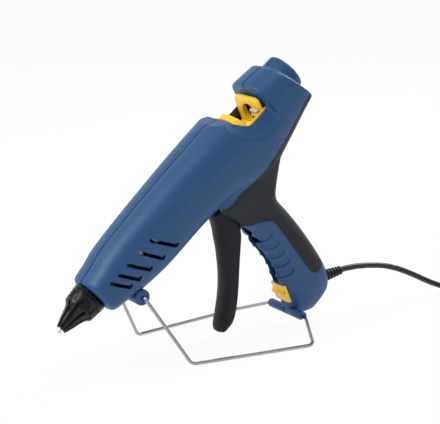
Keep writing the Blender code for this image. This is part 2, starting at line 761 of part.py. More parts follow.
def heating(gun):
    start = NOZZLE_LENGTH + GAP
    end = start + CHAMBER_LENGTH
    profile = [(start, CHAMBER_OUTLET), (start, CHAMBER_RADIUS), (end, CHAMBER_RADIUS), (end, SPIGOT_RADIUS),
               (end + SPIGOT_LENGTH, SPIGOT_RADIUS), (end + SPIGOT_LENGTH, CHAMBER_BORE),
               (start + PLATE * 2, CHAMBER_BORE), (start + PLATE, CHAMBER_OUTLET)]
    lathe("melt_chamber", profile, "aluminium", gun)
    length, width, height = HEATER_SIZE
    base = CHAMBER_RADIUS + GAP
    for name, side in (("heater_upper", 1), ("heater_lower", -1)):
        low, high = sorted((side * base, side * (base + height)))
        box(name, (HEATER_START, -width / 2, low), (HEATER_START + length, width / 2, high), "ceramic", gun)
    inside = math.hypot(width / 2, base + height) + GAP
    for name, place in (("heater_band_front", PLATE), ("heater_band_rear", length - PLATE - BAND_WIDTH)):
        x = HEATER_START + place
        outside = inside + BAND_WALL
        band = [(x, inside), (x, outside), (x + BAND_WIDTH, outside), (x + BAND_WIDTH, inside)]
        lathe(name, band, "steel", gun)
    x = HEATER_START - GAP * 2
    y = CUTOUT[1] / 2
    low = CHAMBER_RADIUS + GAP
    box("thermal_cutout", (x - CUTOUT[0], -y, low), (x, y, low + CUTOUT[2]), "nylon", gun)
    sleeve_start = end + GAP
    sleeve_end = sleeve_start + INLET_LENGTH
    shoulder = end + SPIGOT_LENGTH + GAP
    inlet = [(sleeve_start, SPIGOT_RADIUS + GAP), (sleeve_start, INLET_RADIUS), (sleeve_end, INLET_RADIUS),
             (sleeve_end, CHAMBER_BORE), (shoulder, CHAMBER_BORE), (shoulder, SPIGOT_RADIUS + GAP)]
    lathe("inlet_sleeve", inlet, "silicone", gun)
    ring_start = sleeve_start + GAP
    clip_in = INLET_RADIUS + GAP
    clip = [(ring_start, clip_in), (ring_start, clip_in + BAND_WALL),
            (ring_start + BAND_WIDTH, clip_in + BAND_WALL), (ring_start + BAND_WIDTH, clip_in)]
    lathe("inlet_clip", clip, "steel", gun)
    support("front_insulator", NOZZLE_LENGTH + WALL * 2.2, CHAMBER_RADIUS + GAP, gun, "ceramic")
    support("rear_insulator", ring_start + BAND_WIDTH + GAP * 4, INLET_RADIUS + GAP, gun, "ceramic")


def support(name, x, hole, gun, look):
    """Plate across the casing's hollow with a round hole on the barrel's axis."""
    rings = [barrel_ring(place, WALL + GAP * 2, CORE_SIDES) for place in (x, x + PLATE)]
    plate = skin(name, rings, look, gun)
    cut(plate, lathe("hole", [(x - OVERRUN, hole), (x + PLATE + OVERRUN, hole)], closed=False))
    return plate


def feed_frame(gun):
    """Guide rods for the carriage, between a front plate and the tail bush."""
    front = support("guide_plate", ROD_FRONT, STICK_RADIUS + GAP * 4, gun, "nylon")
    half = LINK_HALF + GAP * 4
    slot_low = PIVOT[1] + ARM_LENGTH - LINK_HEIGHT * 1.2
    cut(front, box("slot", (ROD_FRONT - OVERRUN, -half, slot_low), (ROD_FRONT + PLATE + OVERRUN, half, 0)))
    rear = support("rear_plate", ROD_REAR - PLATE, STICK_RADIUS + GAP * 4, gun, "nylon")
    for name, side in (("guide_rod_left", -1), ("guide_rod_right", 1)):
        ends = [(ROD_FRONT + GAP, ROD_RADIUS), (ROD_REAR - GAP, ROD_RADIUS)]
        rod = lathe(name, ends, "steel", gun, False, 12)
        rod.data.transform(Matrix.Translation((0, side * ROD_SPREAD, -ROD_DROP)))
        for plate in (front, rear):
            cut(plate, rod_bore(side))


def rod_bore(side):
    profile = [(0, ROD_RADIUS + PIN_GAP), (BARREL_LENGTH, ROD_RADIUS + PIN_GAP)]
    bore = lathe("bore", profile, closed=False, sides=12)
    bore.data.transform(Matrix.Translation((0, side * ROD_SPREAD, -ROD_DROP)))
    return bore


def carriage(gun):
    front, rear = CARRIAGE_FRONT, CARRIAGE_REAR
    deck, base = -CARRIAGE_DECK, -CARRIAGE_BASE
    lip = front + LIP_LENGTH
    arch = rear - ARCH_THICK
    side_outline = [
        (front, base), (rear, base), (rear, deck), (rear, RAIL_TOP), (rear + ARCH_LEAN / 2, ARCH_TOP),
        (arch + ARCH_LEAN / 2, ARCH_TOP), (arch - ARCH_LEAN, RAIL_TOP), (front, RAIL_TOP),
    ]
    made = prism("feed_carriage", side_outline, -CARRIAGE_HALF, CARRIAGE_HALF, "yellow", gun)
    places = (front - OVERRUN, WINDOW_REAR, WINDOW_REAR + OVERRUN)
    common(made, skin("guard", [barrel_ring(x, WALL + LIP_GAP) for x in places]))
    lip_rings = [barrel_ring(x, WALL + LIP_GAP) for x in (front, lip)]
    lip_form = skin("lip", lip_rings)
    cut(lip_form, box("under", (0, -REACH, -REACH * 2), (BARREL_LENGTH, REACH, base)))
    join(made, lip_form)
    lug = box("lug", (front, -ROD_SPREAD - ROD_RADIUS * 2, base), (rear, ROD_SPREAD + ROD_RADIUS * 2, deck))
    join(made, lug)
    inner = STICK_RADIUS + GAP * 14
    low = [lip, arch - ARCH_LEAN]
    well = box("well", (low[0], -inner, deck), (low[1], inner, REACH))
    cut(made, well)
    stick = [(0, STICK_RADIUS + GAP * 4), (BARREL_LENGTH, STICK_RADIUS + GAP * 4)]
    cut(made, lathe("stick", stick, closed=False, sides=16))
    corner = (rear + OVERRUN, -STICK_RADIUS, JAW_HEIGHT)
    cut(made, box("jaw slot", (low[1] - OVERRUN, -inner, -JAW_HEIGHT), corner))
    pin_end = JAW_HEIGHT + JAW_PIN_SEAT
    cut(made, upright_rod("jaw pin hole", JAW_PIN, JAW_PIN_RADIUS + PIN_GAP, -pin_end, pin_end))
    for side in (-1, 1):
        cut(made, rod_bore(side))
    half = LINK_HALF + GAP * 2
    end = LINK_X + LINK_HEIGHT
    cut(made, box("link slot", (front - OVERRUN, -half, base - OVERRUN), (end, half, deck + OVERRUN)))
    place = (LINK_X, link_level())
    half = LINK_PIN_HALF
    cut(made, cross_rod("pin hole", place, LINK_PIN_RADIUS + PIN_GAP, -half - GAP, half + GAP))
    cross_rod("link_pin_rear", place, LINK_PIN_RADIUS, -half, half, "steel", gun)
    return made


def link_level():
    return PIVOT[1] + ARM_LENGTH


def grip_jaw(gun):
    """Toothed pawl at the near side of the stick, on an upright pin in the carriage's arch."""
    front = CARRIAGE_REAR - ARCH_THICK - ARCH_LEAN
    tooth = (JAW_HEIGHT * 2 - GAP * 2) / 3
    face = -STICK_RADIUS - GAP * 2
    rings = []
    for x, back in ((front, JAW_FRONT_BACK), (CARRIAGE_REAR - GAP, JAW_REAR_BACK)):
        outline = []
        for k in range(3):
            low = -JAW_HEIGHT + GAP + tooth * k
            outline.append((face - tooth * JAW_BITE_SHARE, low))
            outline.append((face, low + tooth / 2))
        outline.append((face - tooth * JAW_BITE_SHARE, JAW_HEIGHT - GAP))
        outline.append((back, JAW_HEIGHT - GAP))
        outline.append((back, -JAW_HEIGHT + GAP))
        rings.append([(x, y, z) for y, z in outline])
    jaw = skin("grip_jaw", rings, "beige", gun)
    cut(jaw, upright_rod("pin hole", JAW_PIN, JAW_PIN_RADIUS + PIN_GAP, -REACH, REACH))
    end = JAW_HEIGHT + JAW_PIN_SEAT - GAP
    upright_rod("jaw_pin", JAW_PIN, JAW_PIN_RADIUS, -end, end, "steel", gun)
    return jaw


def upright_rod(name, centre, radius, low, high, look=None, parent=None):
    """Cylinder along Z through the (x, y) centre."""
    rings = [[(x, y, z) for x, y in circle(centre, radius, 12)] for z in (low, high)]
    return skin(name, rings, look, parent)


def trigger_outline():
    """Seen from the side, about its pivot: front edge down to the toe, then the rear edge up."""
    shares = [
        (-0.128, 0.015), (-0.185, -0.090), (-0.255, -0.180), (-0.320, -0.275), (-0.385, -0.360),
        (-0.450, -0.450), (-0.515, -0.540), (-0.590, -0.615), (-0.680, -0.675), (-0.760, -0.730),
        (-0.790, -0.785), (-0.773, -0.830), (-0.730, -0.855), (-0.673, -0.848), (-0.620, -0.815),
        (-0.545, -0.775), (-0.460, -0.705), (-0.360, -0.605), (-0.245, -0.485), (-0.130, -0.370),
        (-0.050, -0.295), (0.002, -0.220), (0.029, -0.140), (0.037, -0.060), (0.027, 0.025),
    ]
    return [(x * TRIGGER_LENGTH, z * TRIGGER_LENGTH) for x, z in shares]


def trigger_parts(gun):
    pivot = bpy.data.objects.new("trigger_axis", None)
    bpy.context.scene.collection.objects.link(pivot)
    pivot.parent = gun
    blade = prism("trigger", trigger_outline(), -TRIGGER_HALF, TRIGGER_HALF, "rubber", pivot)
    bevel_long_edges(blade, TRIGGER_HALF * 0.45)
    side, tip = ARM_WIDTH / 2, ARM_LENGTH + ARM_WIDTH / 2 - GAP
    arm = [(-side, -ARM_WIDTH), (side * 0.6, -ARM_WIDTH), (side, 0), (side, ARM_LENGTH), (side / 2, tip),
           (-side / 2, tip), (-side, ARM_LENGTH)]
    join(blade, prism("arm", arm, -ARM_HALF - LINK_HALF, ARM_HALF + LINK_HALF))
    half = LINK_HALF + GAP * 2
    low = ARM_LENGTH - LINK_HEIGHT
    cut(blade, box("fork", (-ARM_WIDTH, -half, low), (ARM_WIDTH, half, ARM_LENGTH + ARM_WIDTH)))
    cut(blade, cross_rod("pin hole", (0, 0), PIVOT_RADIUS + PIN_GAP, -REACH, REACH))
    hole_end = ARM_HALF + LINK_HALF + OVERRUN
    cut(blade, cross_rod("link hole", (0, ARM_LENGTH), LINK_PIN_RADIUS + PIN_GAP, -hole_end, hole_end))
    pin_end = ARM_HALF + LINK_HALF
    cross_rod("link_pin_front", (0, ARM_LENGTH), LINK_PIN_RADIUS, -pin_end, pin_end, "steel", pivot)
    pivot.location = (PIVOT[0], 0, PIVOT[1])
    end = PIVOT_SEAT - GAP
    cross_rod("trigger_pin", PIVOT, PIVOT_RADIUS, -end, end, "steel", gun)


def bevel_long_edges(item, width):
    """Round the edges between the blade's rim and its flat sides."""
    bm = bmesh.new()
    bm.from_mesh(item.data)
    flats = [face for face in bm.faces if abs(face.normal.y) > 0.9]
    edges = {edge for face in flats for edge in face.edges}
    rim = list(edges)
    bmesh.ops.bevel(bm, geom=rim, offset=width, segments=3, affect="EDGES", profile=0.5, clamp_overlap=True)
    bmesh.ops.recalc_face_normals(bm, faces=bm.faces[:])
    bm.to_mesh(item.data)
    bm.free()


def feed_link(gun):
    level = link_level()
    half = LINK_HEIGHT / 2
    front, rear = PIVOT[0], LINK_X
    outline = [
        (front - half, level - half / 2), (front, level - half), (rear, level - half),
        (rear + half, level - half / 2), (rear + half, level + half / 2), (rear, level + half),
        (front, level + half), (front - half, level + half / 2),
    ]
    made = prism("feed_link", outline, -LINK_HALF, LINK_HALF, "steel", gun)
    cut(made, cross_rod("eye", (rear, level), LINK_PIN_RADIUS + PIN_GAP, -REACH, REACH))
    cut(made, cross_rod("eye", (front, level), LINK_PIN_RADIUS + LINK_EYE_PLAY, -REACH, REACH))
    return made


def return_spring(gun):
    """Coil behind the trigger's root, against the neck's inner wall."""
    ahead, drop, length = [share * TRIGGER_LENGTH for share in SPRING_SHARES]
    start = Vector((PIVOT[0] + ahead, 0, PIVOT[1] + drop))
    spring("return_spring", start, (1, 0, 0), length, SPRING_RADIUS, gun)
    x = start.x + length + GAP
    seat = box("spring_seat", (x, -SPRING_SEAT_HALF, start.z - SPRING_RADIUS * 1.6),
               (x + PLATE / 2, SPRING_SEAT_HALF, start.z + SPRING_RADIUS * 1.6), "nylon", gun)
    return seat


def flow_slider(gun):
    top, foot, down, out = slider_axes()
    base = SLIDER_THICK - SLIDER_PROUD
    ledge = top.lerp(foot, 0.45) + out * (SLIDER_PROUD + LEDGE_HEIGHT)
    outline = [top + out * SLIDER_PROUD, top - out * base, foot - out * base, foot + out * SLIDER_PROUD,
               foot.lerp(top, 0.35) + out * SLIDER_PROUD, ledge, top.lerp(foot, 0.30) + out * SLIDER_PROUD]
    made = prism("flow_slider", [tuple(p) for p in outline], -SLIDER_HALF, SLIDER_HALF, "yellow", gun)
    middle = (top + foot) / 2
    half = SLIDER_STEM_HALF
    stem = [middle - down * half - out * (base - GAP), middle + down * half - out * (base - GAP)]
    stem += [p - out * (SLIDER_STEM_DEPTH - base) for p in reversed(stem)]
    join(made, prism("stem", [tuple(p) for p in stem], -half, half))
    return made


def strain_relief(gun):
    """Ribbed, tapered sleeve: a flange inside the casing and five rings outside."""
    foot, run = relief_axis()
    bore = CORD_RADIUS + GAP
    inside = -GRIP_WALL * 2.2
    profile = [(inside, bore), (inside, RELIEF_STEM), (0, RELIEF_STEM), (0, RELIEF_RADIUS)]
    ribs = 5
    for k in range(ribs):
        x = RELIEF_LENGTH * (k + 0.25) / ribs
        crest = RELIEF_RADIUS + (RELIEF_TIP - RELIEF_RADIUS) * k / ribs
        root = crest - CORD_RADIUS * 0.28
        step = RELIEF_LENGTH / ribs
        profile += [(x, crest), (x + step * 0.45, crest), (x + step * 0.5, root), (x + step * 0.7, root)]
    profile += [(RELIEF_LENGTH, RELIEF_TIP), (RELIEF_LENGTH, bore)]
    made = lathe("strain_relief", profile, "black", gun, sides=12)
    along(made, foot, run)
    core_end = RELIEF_LENGTH - GAP
    return core_end


def electrics(gun):
    """Board held on a casing post, with the cord's terminals at its foot."""
    x, z = BOARD_CENTRE
    thick, depth, height = BOARD
    foot = z - height / 2
    low = (x - depth / 2, BOARD_Y, foot)
    board = box("control_board", low, (x + depth / 2, BOARD_Y + thick, foot + height), "board", gun)
    for place in screw_places():
        cut(board, cross_rod("post", place, SCREW_BOSS + GAP, -REACH, REACH))
    face = BOARD_Y + thick + GAP
    wide, deep, tall = TERMINAL
    low = (x - deep / 2, face, foot + GAP)
    box("terminal_block", low, (x + deep / 2, face + wide, foot + tall), "ceramic", gun)


def stand(root):
    """Bent wire: in at one end of the boss, round the base, through the clip and back."""
    boss = to_world(BOSS_CENTRE)
    clip = to_world(CLIP_CENTRE)
    side = [
        (boss[0], -BOSS_SEAT, boss[1]),
        (boss[0], -LEG_OFFSET, boss[1]),
        (STAND_FRONT[0], -STAND_FRONT[1], WIRE_RADIUS),
        (STAND_REAR[0], -STAND_REAR[1], WIRE_RADIUS),
        (clip[0], -CLIP_EXIT, clip[1]),
    ]
    other = [(x, -y, z) for x, y, z in reversed(side)]
    radii = [BOSS_BEND, WIRE_BEND, WIRE_BEND, CLIP_BEND]
    route = rounded(side + other, radii + radii[::-1])
    return sweep("stand_wire", route, WIRE_RADIUS, 8, "chrome", root)


def to_world(spot):
    """A point of the tilted body, given as (x, z), in the standing frame."""
    c, s = math.cos(TILT), math.sin(TILT)
    return (spot[0] * c - spot[1] * s - tip_x(), spot[0] * s + spot[1] * c + NOSE_HEIGHT)


def tip_x():
    """How far the tip lies ahead of the boss in the standing frame."""
    return BOSS_CENTRE[0] * math.cos(TILT) - BOSS_CENTRE[1] * math.sin(TILT) + BOSS_AHEAD


def smooth_route(points, spacing):
    """Points at an even spacing on a smooth curve through the given ones."""
    ends = [points[0] * 2 - points[1]] + points + [points[-1] * 2 - points[-2]]
    fine = []
    for a, b, c, d in zip(ends, ends[1:], ends[2:], ends[3:]):
        for k in range(20):
            t = k / 20
            term = (c - a) * t + (a * 2 - b * 5 + c * 4 - d) * t * t + (b * 3 - a - c * 3 + d) * t ** 3
            fine.append(b + term / 2)
    fine.append(points[-1])
    even = [fine[0]]
    for point in fine[1:]:
        if (point - even[-1]).length >= spacing:
            even.append(point)
    even[-1] = points[-1]
    return even


def wound_tube(name, points, radius, resolution, look, root):
    curve = bpy.data.curves.new(name, "CURVE")
    curve.dimensions = "3D"
    line = curve.splines.new("POLY")
    line.points.add(len(points) - 1)
    for slot, point in zip(line.points, points):
        slot.co = (*point, 1)
    curve.bevel_depth = radius
    curve.bevel_resolution = resolution
    curve.use_fill_caps = True
    return scene_object(name, curve, look, root)


def coil_points():
    """Loops spiral in on the lower layer, climb, and spiral out again on the upper one."""
    per_layer = COIL_LOOPS // COIL_LAYERS
    points = []
    count = COIL_LOOPS * LOOP_POINTS
    spread = per_layer * COIL_STEP
    outer = COIL_RADIUS + spread / 2
    for k in range(count + 1):
        loops = k / LOOP_POINTS
        if loops <= per_layer:
            inward = loops / per_layer
        else:
            inward = (COIL_LOOPS - loops) / per_layer
        climb = min(max((loops - per_layer + 0.25) * 2, 0.0), 1.0)
        radius = outer - spread * inward
        turn = math.pi / 2 - math.tau * loops
        x = COIL_X + radius * math.cos(turn)
        y = radius * math.sin(turn) - outer
        points.append(Vector((x, y, coil_floor() + climb * COIL_RISE)))
    lead = [(0.25, 1.0), (0.5, 0.6), (0.75, 0.2), (0.9, 0.0), (1.0, 0.0)]
    drop = points[-1].z - plug_level()
    for share, height in lead:
        points.append(Vector((COIL_X + COIL_LEAD * share, 0, plug_level() + drop * height)))
    points[0] = Vector((COIL_X, 0, coil_floor()))
    return [Vector((COIL_X - CORD_RADIUS * 2, 0, coil_floor()))] + points


def coil_floor():
    """Height of the lowest loops' centre line: the tie passes under them."""
    return CORD_RADIUS + TIE_THICK + GAP * 2


def plug_level():
    return PLUG_HEIGHT / 2 + GAP


def coil_tie(root):
    """Strap round the bundle, on the side away from the lead."""
    spread = (COIL_LOOPS // COIL_LAYERS) * COIL_STEP
    outer = COIL_RADIUS + spread / 2
    low = -outer * 2 - CORD_RADIUS - GAP * 3
    high = -outer - COIL_RADIUS + spread / 2 + CORD_RADIUS + GAP * 3
    top = coil_floor() + COIL_RISE + CORD_RADIUS + GAP * 2
    sizes = [(low - TIE_THICK, high + TIE_THICK, 0, top + TIE_THICK), (low, high, TIE_THICK, top)]
    blocks = []
    for k, (y0, y1, z0, z1) in enumerate(sizes):
        half = TIE_WIDTH / 2 + k * OVERRUN
        blocks.append(box("cord_tie", (COIL_X - half, y0, z0), (COIL_X + half, y1, z1), "rubber", root))
    return cut(blocks[0], blocks[1])


def plug(root):
    """Flat two-pin plug at the end of the coil's lead."""
    start = COIL_X + COIL_LEAD + GAP
    shares = [
        (0.0, 0.32, 0.65), (0.30, 0.36, 0.70), (0.42, 0.80, 0.92), (0.55, 1.0, 1.0), (0.90, 1.0, 1.0),
        (1.0, 0.92, 0.86),
    ]
    rings = []
    for place, wide, tall in shares:
        points = []
        for k in range(SIDES):
            turn = math.tau * k / SIDES
            c, s = math.cos(turn), math.sin(turn)
            y = math.copysign(abs(c) ** 0.5, c) * wide * PLUG_WIDTH / 2
            z = math.copysign(abs(s) ** 0.5, s) * tall * PLUG_HEIGHT / 2
            points.append((start + place * PLUG_LENGTH, y, plug_level() + z))
        rings.append(points)
    skin("plug_body", rings, "black", root)
    face = start + PLUG_LENGTH + GAP
    for name, side in (("plug_pin_left", 1), ("plug_pin_right", -1)):
        end = face + PIN_LENGTH
        profile = [(face, PIN_RADIUS), (end - PIN_RADIUS / 2, PIN_RADIUS), (end, PIN_RADIUS * 0.7)]
        pin = lathe(name, profile, "brass", root, False, 12)
        pin.data.transform(Matrix.Translation((0, side * PIN_SPACING / 2, plug_level())))


def report_gap(points, name):
    """Print the least distance between loops that pass each other."""
    least = REACH
    for k, point in enumerate(points):
        for other in points[k + LOOP_POINTS // 2:]:
            least = min(least, (point - other).length)
    print(name, "least gap", round((least - CORD_RADIUS * 2) * 1000, 2), "mm")


def cord(root):
    """Free stretch from the relief's tip down to the floor, where the coil takes over."""
    foot, run = relief_axis()
    start = tilted(foot + run * (RELIEF_LENGTH - RELIEF_SINK))
    ahead = tilted(foot + run * (RELIEF_LENGTH + CORD_RADIUS * 2))
    coil = coil_points()
    end = coil[0] - Vector((GAP, 0, 0))
    before = end - Vector((CORD_RADIUS * 3, 0, 0))
    bends = [Vector(point) for point in CORD_ROUTE]
    route = smooth_route([start, ahead] + bends + [before, end], CORD_RADIUS * 4.4)
    wound_tube("power_cord", route, CORD_RADIUS, 2, "black", root)
    wound_tube("cord_coil", coil, CORD_RADIUS, 1, "black", root)
    report_gap(coil, "cord_coil")
    return coil


def tilted(point):
    """A point of the body's frame in the standing frame."""
    x, z = to_world((point.x, point.z))
    return Vector((x, point.y, z))


def centre_on_origin(root):
    """Stand the applicator on Z = 0 with its box, cord left out, centred over the origin."""
    bpy.context.view_layer.update()
    spots = []
    for item in bpy.data.objects:
        if item.type == "MESH" and item.name not in CORD_PIECES:
            spots += [item.matrix_world @ vertex.co for vertex in item.data.vertices]
    low = [min(spot[k] for spot in spots) for k in range(3)]
    high = [max(spot[k] for spot in spots) for k in range(3)]
    root.location = (-(low[0] + high[0]) / 2, -(low[1] + high[1]) / 2, -low[2])


def main():
    clear_scene()
    root = bpy.data.objects.new("applicator", None)
    bpy.context.scene.collection.objects.link(root)
    gun = bpy.data.objects.new("body_frame", None)
    bpy.context.scene.collection.objects.link(gun)
    shell = casing()
    cut_openings(shell)
    split_casing(shell, gun)
    grip_rubbers(gun)
    casing_screws(gun)
    nozzle_parts(gun)
    nozzle_sleeve(gun)
    heating(gun)
    feed_frame(gun)
    carriage(gun)
    grip_jaw(gun)
    trigger_parts(gun)
    feed_link(gun)
    return_spring(gun)
    flow_slider(gun)
    strain_relief(gun)
    electrics(gun)
    stand(root)
    cord(root)
    coil_tie(root)
    plug(root)
    gun.parent = root
    gun.location = (-tip_x(), 0, NOSE_HEIGHT)
    gun.rotation_euler = (0, -TILT, 0)
    centre_on_origin(root)


main()
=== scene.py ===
"""Hot glue applicator standing on its wire stand, dressed for rendering."""
import math

import bmesh
import bpy
from mathutils import Matrix, Vector


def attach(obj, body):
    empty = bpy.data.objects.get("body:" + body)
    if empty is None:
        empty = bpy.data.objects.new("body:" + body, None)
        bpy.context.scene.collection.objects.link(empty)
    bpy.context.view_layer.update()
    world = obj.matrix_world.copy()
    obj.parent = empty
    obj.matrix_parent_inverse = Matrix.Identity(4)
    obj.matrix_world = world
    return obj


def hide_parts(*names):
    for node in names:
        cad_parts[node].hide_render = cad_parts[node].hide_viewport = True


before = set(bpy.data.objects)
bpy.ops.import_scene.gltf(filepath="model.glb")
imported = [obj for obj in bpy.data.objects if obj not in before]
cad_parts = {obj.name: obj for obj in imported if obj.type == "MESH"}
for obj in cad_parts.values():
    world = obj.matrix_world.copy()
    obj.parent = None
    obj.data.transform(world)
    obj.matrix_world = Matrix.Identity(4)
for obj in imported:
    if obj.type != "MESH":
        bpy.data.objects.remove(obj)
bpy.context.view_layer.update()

# A pale bench sweeps up behind the tool, lit by three large soft lamps.
# The picture is taken from the tool's left side, a little above the barrel.
bench_white = (0.93, 0.93, 0.94)
view_target = Vector((0.0135, 0.0, 0.1162))
view_distance = 1.305
view_turn = math.radians(-32.8)
view_height = math.radians(14.0)
lens_mm = 122.73
bench_reach = 4.0
bench_brightness = 0.93


def aim(item, spot):
    item.rotation_euler = (Vector(spot) - item.location).to_track_quat("-Z", "Y").to_euler()


lens = bpy.data.cameras.new("studio_camera")
lens.lens = lens_mm
lens.sensor_width = 36.0
camera = bpy.data.objects.new("studio_camera", lens)
bpy.context.scene.collection.objects.link(camera)
level = math.cos(view_height)
away = Vector((-math.sin(view_turn) * level, math.cos(view_turn) * level, -math.sin(view_height)))
camera.location = view_target - away * view_distance
aim(camera, view_target)
bpy.context.scene.camera = camera


def wire(links, *joins):
    """Join node sockets, each given as from node, output, to node, input."""
    for source, output, target, socket in joins:
        links.new(source.outputs[output], target.inputs[socket])


def math_node(nodes, operation, value=None):
    made = nodes.new("ShaderNodeMath")
    made.operation = operation
    if value is not None:
        made.inputs[1].default_value = value
    return made


bench_paint = bpy.data.materials.new("bench_paint")
bench_paint.use_nodes = True
tree = bench_paint.node_tree
tree.nodes.clear()
sheet_out = tree.nodes.new("ShaderNodeOutputMaterial")
sheet_mix = tree.nodes.new("ShaderNodeMixShader")
sheet_glow = tree.nodes.new("ShaderNodeEmission")
sheet_glow.inputs["Color"].default_value = (1.0, 1.0, 1.0, 1.0)
sheet_base = tree.nodes.new("ShaderNodeBsdfDiffuse")
sheet_base.inputs["Color"].default_value = (*bench_white, 1.0)
sheet_ray = tree.nodes.new("ShaderNodeLightPath")
sheet_any = math_node(tree.nodes, "MAXIMUM")
sheet_share = math_node(tree.nodes, "MULTIPLY", bench_brightness)
wire(tree.links, (sheet_ray, "Is Camera Ray", sheet_any, 0), (sheet_ray, "Is Glossy Ray", sheet_any, 1),
     (sheet_any, 0, sheet_share, 0), (sheet_share, 0, sheet_mix, "Fac"), (sheet_base, 0, sheet_mix, 1),
     (sheet_glow, 0, sheet_mix, 2), (sheet_mix, 0, sheet_out, "Surface"))

bm = bmesh.new()
bmesh.ops.create_grid(bm, x_segments=1, y_segments=1, size=bench_reach)
edge = max(bm.edges, key=lambda item: sum(v.co.y for v in item.verts))
wall = bmesh.ops.extrude_edge_only(bm, edges=[edge])
lifted = [v for v in wall["geom"] if isinstance(v, bmesh.types.BMVert)]
bmesh.ops.translate(bm, verts=lifted, vec=(0.0, 0.0, bench_reach))
bench_mesh = bpy.data.meshes.new("bench")
bm.to_mesh(bench_mesh)
bm.free()
bench = bpy.data.objects.new("bench", bench_mesh)
bench.location = (0.0, 0.0, -0.0004)
bench_mesh.materials.append(bench_paint)
bpy.context.scene.collection.objects.link(bench)

sky = bpy.data.worlds.new("studio_sky")
bpy.context.scene.world = sky
sky.use_nodes = True
sky.node_tree.nodes["Background"].inputs["Color"].default_value = (1.0, 1.0, 1.0, 1.0)
sky.node_tree.nodes["Background"].inputs["Strength"].default_value = 0.5
bpy.context.scene.view_settings.view_transform = "Standard"

softboxes = [
    ("key_lamp", (-1.25, 0.2, 1.05), 0.8, 13.0),
    ("top_lamp", (0.45, -0.1, 1.7), 0.9, 8.0),
    ("edge_lamp", (1.2, 0.35, 0.95), 0.6, 11.0),
]
for name, spot, width, power in softboxes:
    bulb = bpy.data.lights.new(name, "AREA")
    bulb.shape = "SQUARE"
    bulb.size = width
    bulb.energy = power
    lamp = bpy.data.objects.new(name, bulb)
    bpy.context.scene.collection.objects.link(lamp)
    lamp.location = spot
    aim(lamp, (0.0, 0.0, 0.1))


# The body is drawn nose first: x runs from the nozzle tip to the tail, z out of the barrel's top.
# It is then tipped nose down on its stand, which is where every finished piece has its points.
nose_spot = Vector((-0.145631, 0.0, 0.034899))
tip_angle = math.radians(41)
onto_stand = Matrix.Translation(nose_spot) @ Matrix.Rotation(-tip_angle, 4, "Y")


def finished(name, bm, material, body, nodes=(), tilted=True, smooth=True):
    """Turn a bmesh into a piece that sits at the origin and rides on a body."""
    if tilted:
        bmesh.ops.transform(bm, matrix=onto_stand, verts=bm.verts[:])
    mesh = bpy.data.meshes.new(name)
    bm.to_mesh(mesh)
    bm.free()
    mesh.polygons.foreach_set("use_smooth", [smooth] * len(mesh.polygons))
    piece = bpy.data.objects.new(name, mesh)
    bpy.context.scene.collection.objects.link(piece)
    mesh.materials.append(material)
    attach(piece, body)
    if nodes:
        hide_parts(*nodes)
    return piece


def grain_group():
    """Moulded surface: fine spark texture and slow clouds that vary colour and gloss."""
    group = bpy.data.node_groups.new("moulded_grain", "ShaderNodeTree")
    number, shade = "NodeSocketFloat", "NodeSocketColor"
    for label, kind, value in (("Grain Size", number, 900.0), ("Depth", number, 0.3),
                               ("Cloud Size", number, 14.0), ("Variation", number, 0.06),
                               ("Color", shade, (0.5, 0.5, 0.5, 1.0)), ("Roughness", number, 0.5)):
        group.interface.new_socket(name=label, in_out="INPUT", socket_type=kind).default_value = value
    for label, kind in (("Color", shade), ("Roughness", number), ("Normal", "NodeSocketVector")):
        group.interface.new_socket(name=label, in_out="OUTPUT", socket_type=kind)
    nodes = group.nodes
    entry, leave = nodes.new("NodeGroupInput"), nodes.new("NodeGroupOutput")
    place, bump = nodes.new("ShaderNodeTexCoord"), nodes.new("ShaderNodeBump")
    bump.inputs["Distance"].default_value = 0.0002
    fine, clouds = nodes.new("ShaderNodeTexNoise"), nodes.new("ShaderNodeTexNoise")
    fine.inputs["Detail"].default_value = 2.0
    clouds.inputs["Detail"].default_value = 4.0
    tint = nodes.new("ShaderNodeVectorMath")
    tint.operation = "SCALE"
    centred, scaled = math_node(nodes, "SUBTRACT", 0.5), math_node(nodes, "MULTIPLY")
    lift, gloss = math_node(nodes, "ADD", 1.0), math_node(nodes, "MULTIPLY")
    wire(group.links, (place, "Object", fine, "Vector"), (place, "Object", clouds, "Vector"),
         (entry, "Grain Size", fine, "Scale"), (entry, "Cloud Size", clouds, "Scale"),
         (fine, "Fac", bump, "Height"), (entry, "Depth", bump, "Strength"), (bump, "Normal", leave, "Normal"),
         (clouds, "Fac", centred, 0), (centred, 0, scaled, 0), (entry, "Variation", scaled, 1),
         (scaled, 0, lift, 0), (entry, "Color", tint, 0), (lift, 0, tint, "Scale"), (tint, 0, leave, "Color"),
         (entry, "Roughness", gloss, 0), (lift, 0, gloss, 1), (gloss, 0, leave, "Roughness"))
    return group


moulded_grain = grain_group()


def finish_coat(name, colour, roughness, metallic=0.0, grain=900.0, depth=0.3, variation=0.06, specular=0.5):
    """One piece's own material: the shared grain with this finish's values."""
    made = bpy.data.materials.new(name)
    made.use_nodes = True
    nodes = made.node_tree.nodes
    shader = nodes["Principled BSDF"]
    shader.inputs["Metallic"].default_value = metallic
    shader.inputs["Specular IOR Level"].default_value = specular
    surface = nodes.new("ShaderNodeGroup")
    surface.node_tree = moulded_grain
    for label, value in (("Color", (*colour, 1.0)), ("Roughness", roughness), ("Grain Size", grain),
                         ("Depth", depth), ("Variation", variation)):
        surface.inputs[label].default_value = value
    wire(made.node_tree.links, (surface, "Color", shader, "Base Color"),
         (surface, "Roughness", shader, "Roughness"), (surface, "Normal", shader, "Normal"))
    return made


def recoat(nodes, name, colour, roughness, **finish):
    """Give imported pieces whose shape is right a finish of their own."""
    material = finish_coat(name, colour, roughness, **finish)
    for node in nodes:
        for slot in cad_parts[node].material_slots:
            slot.material = material


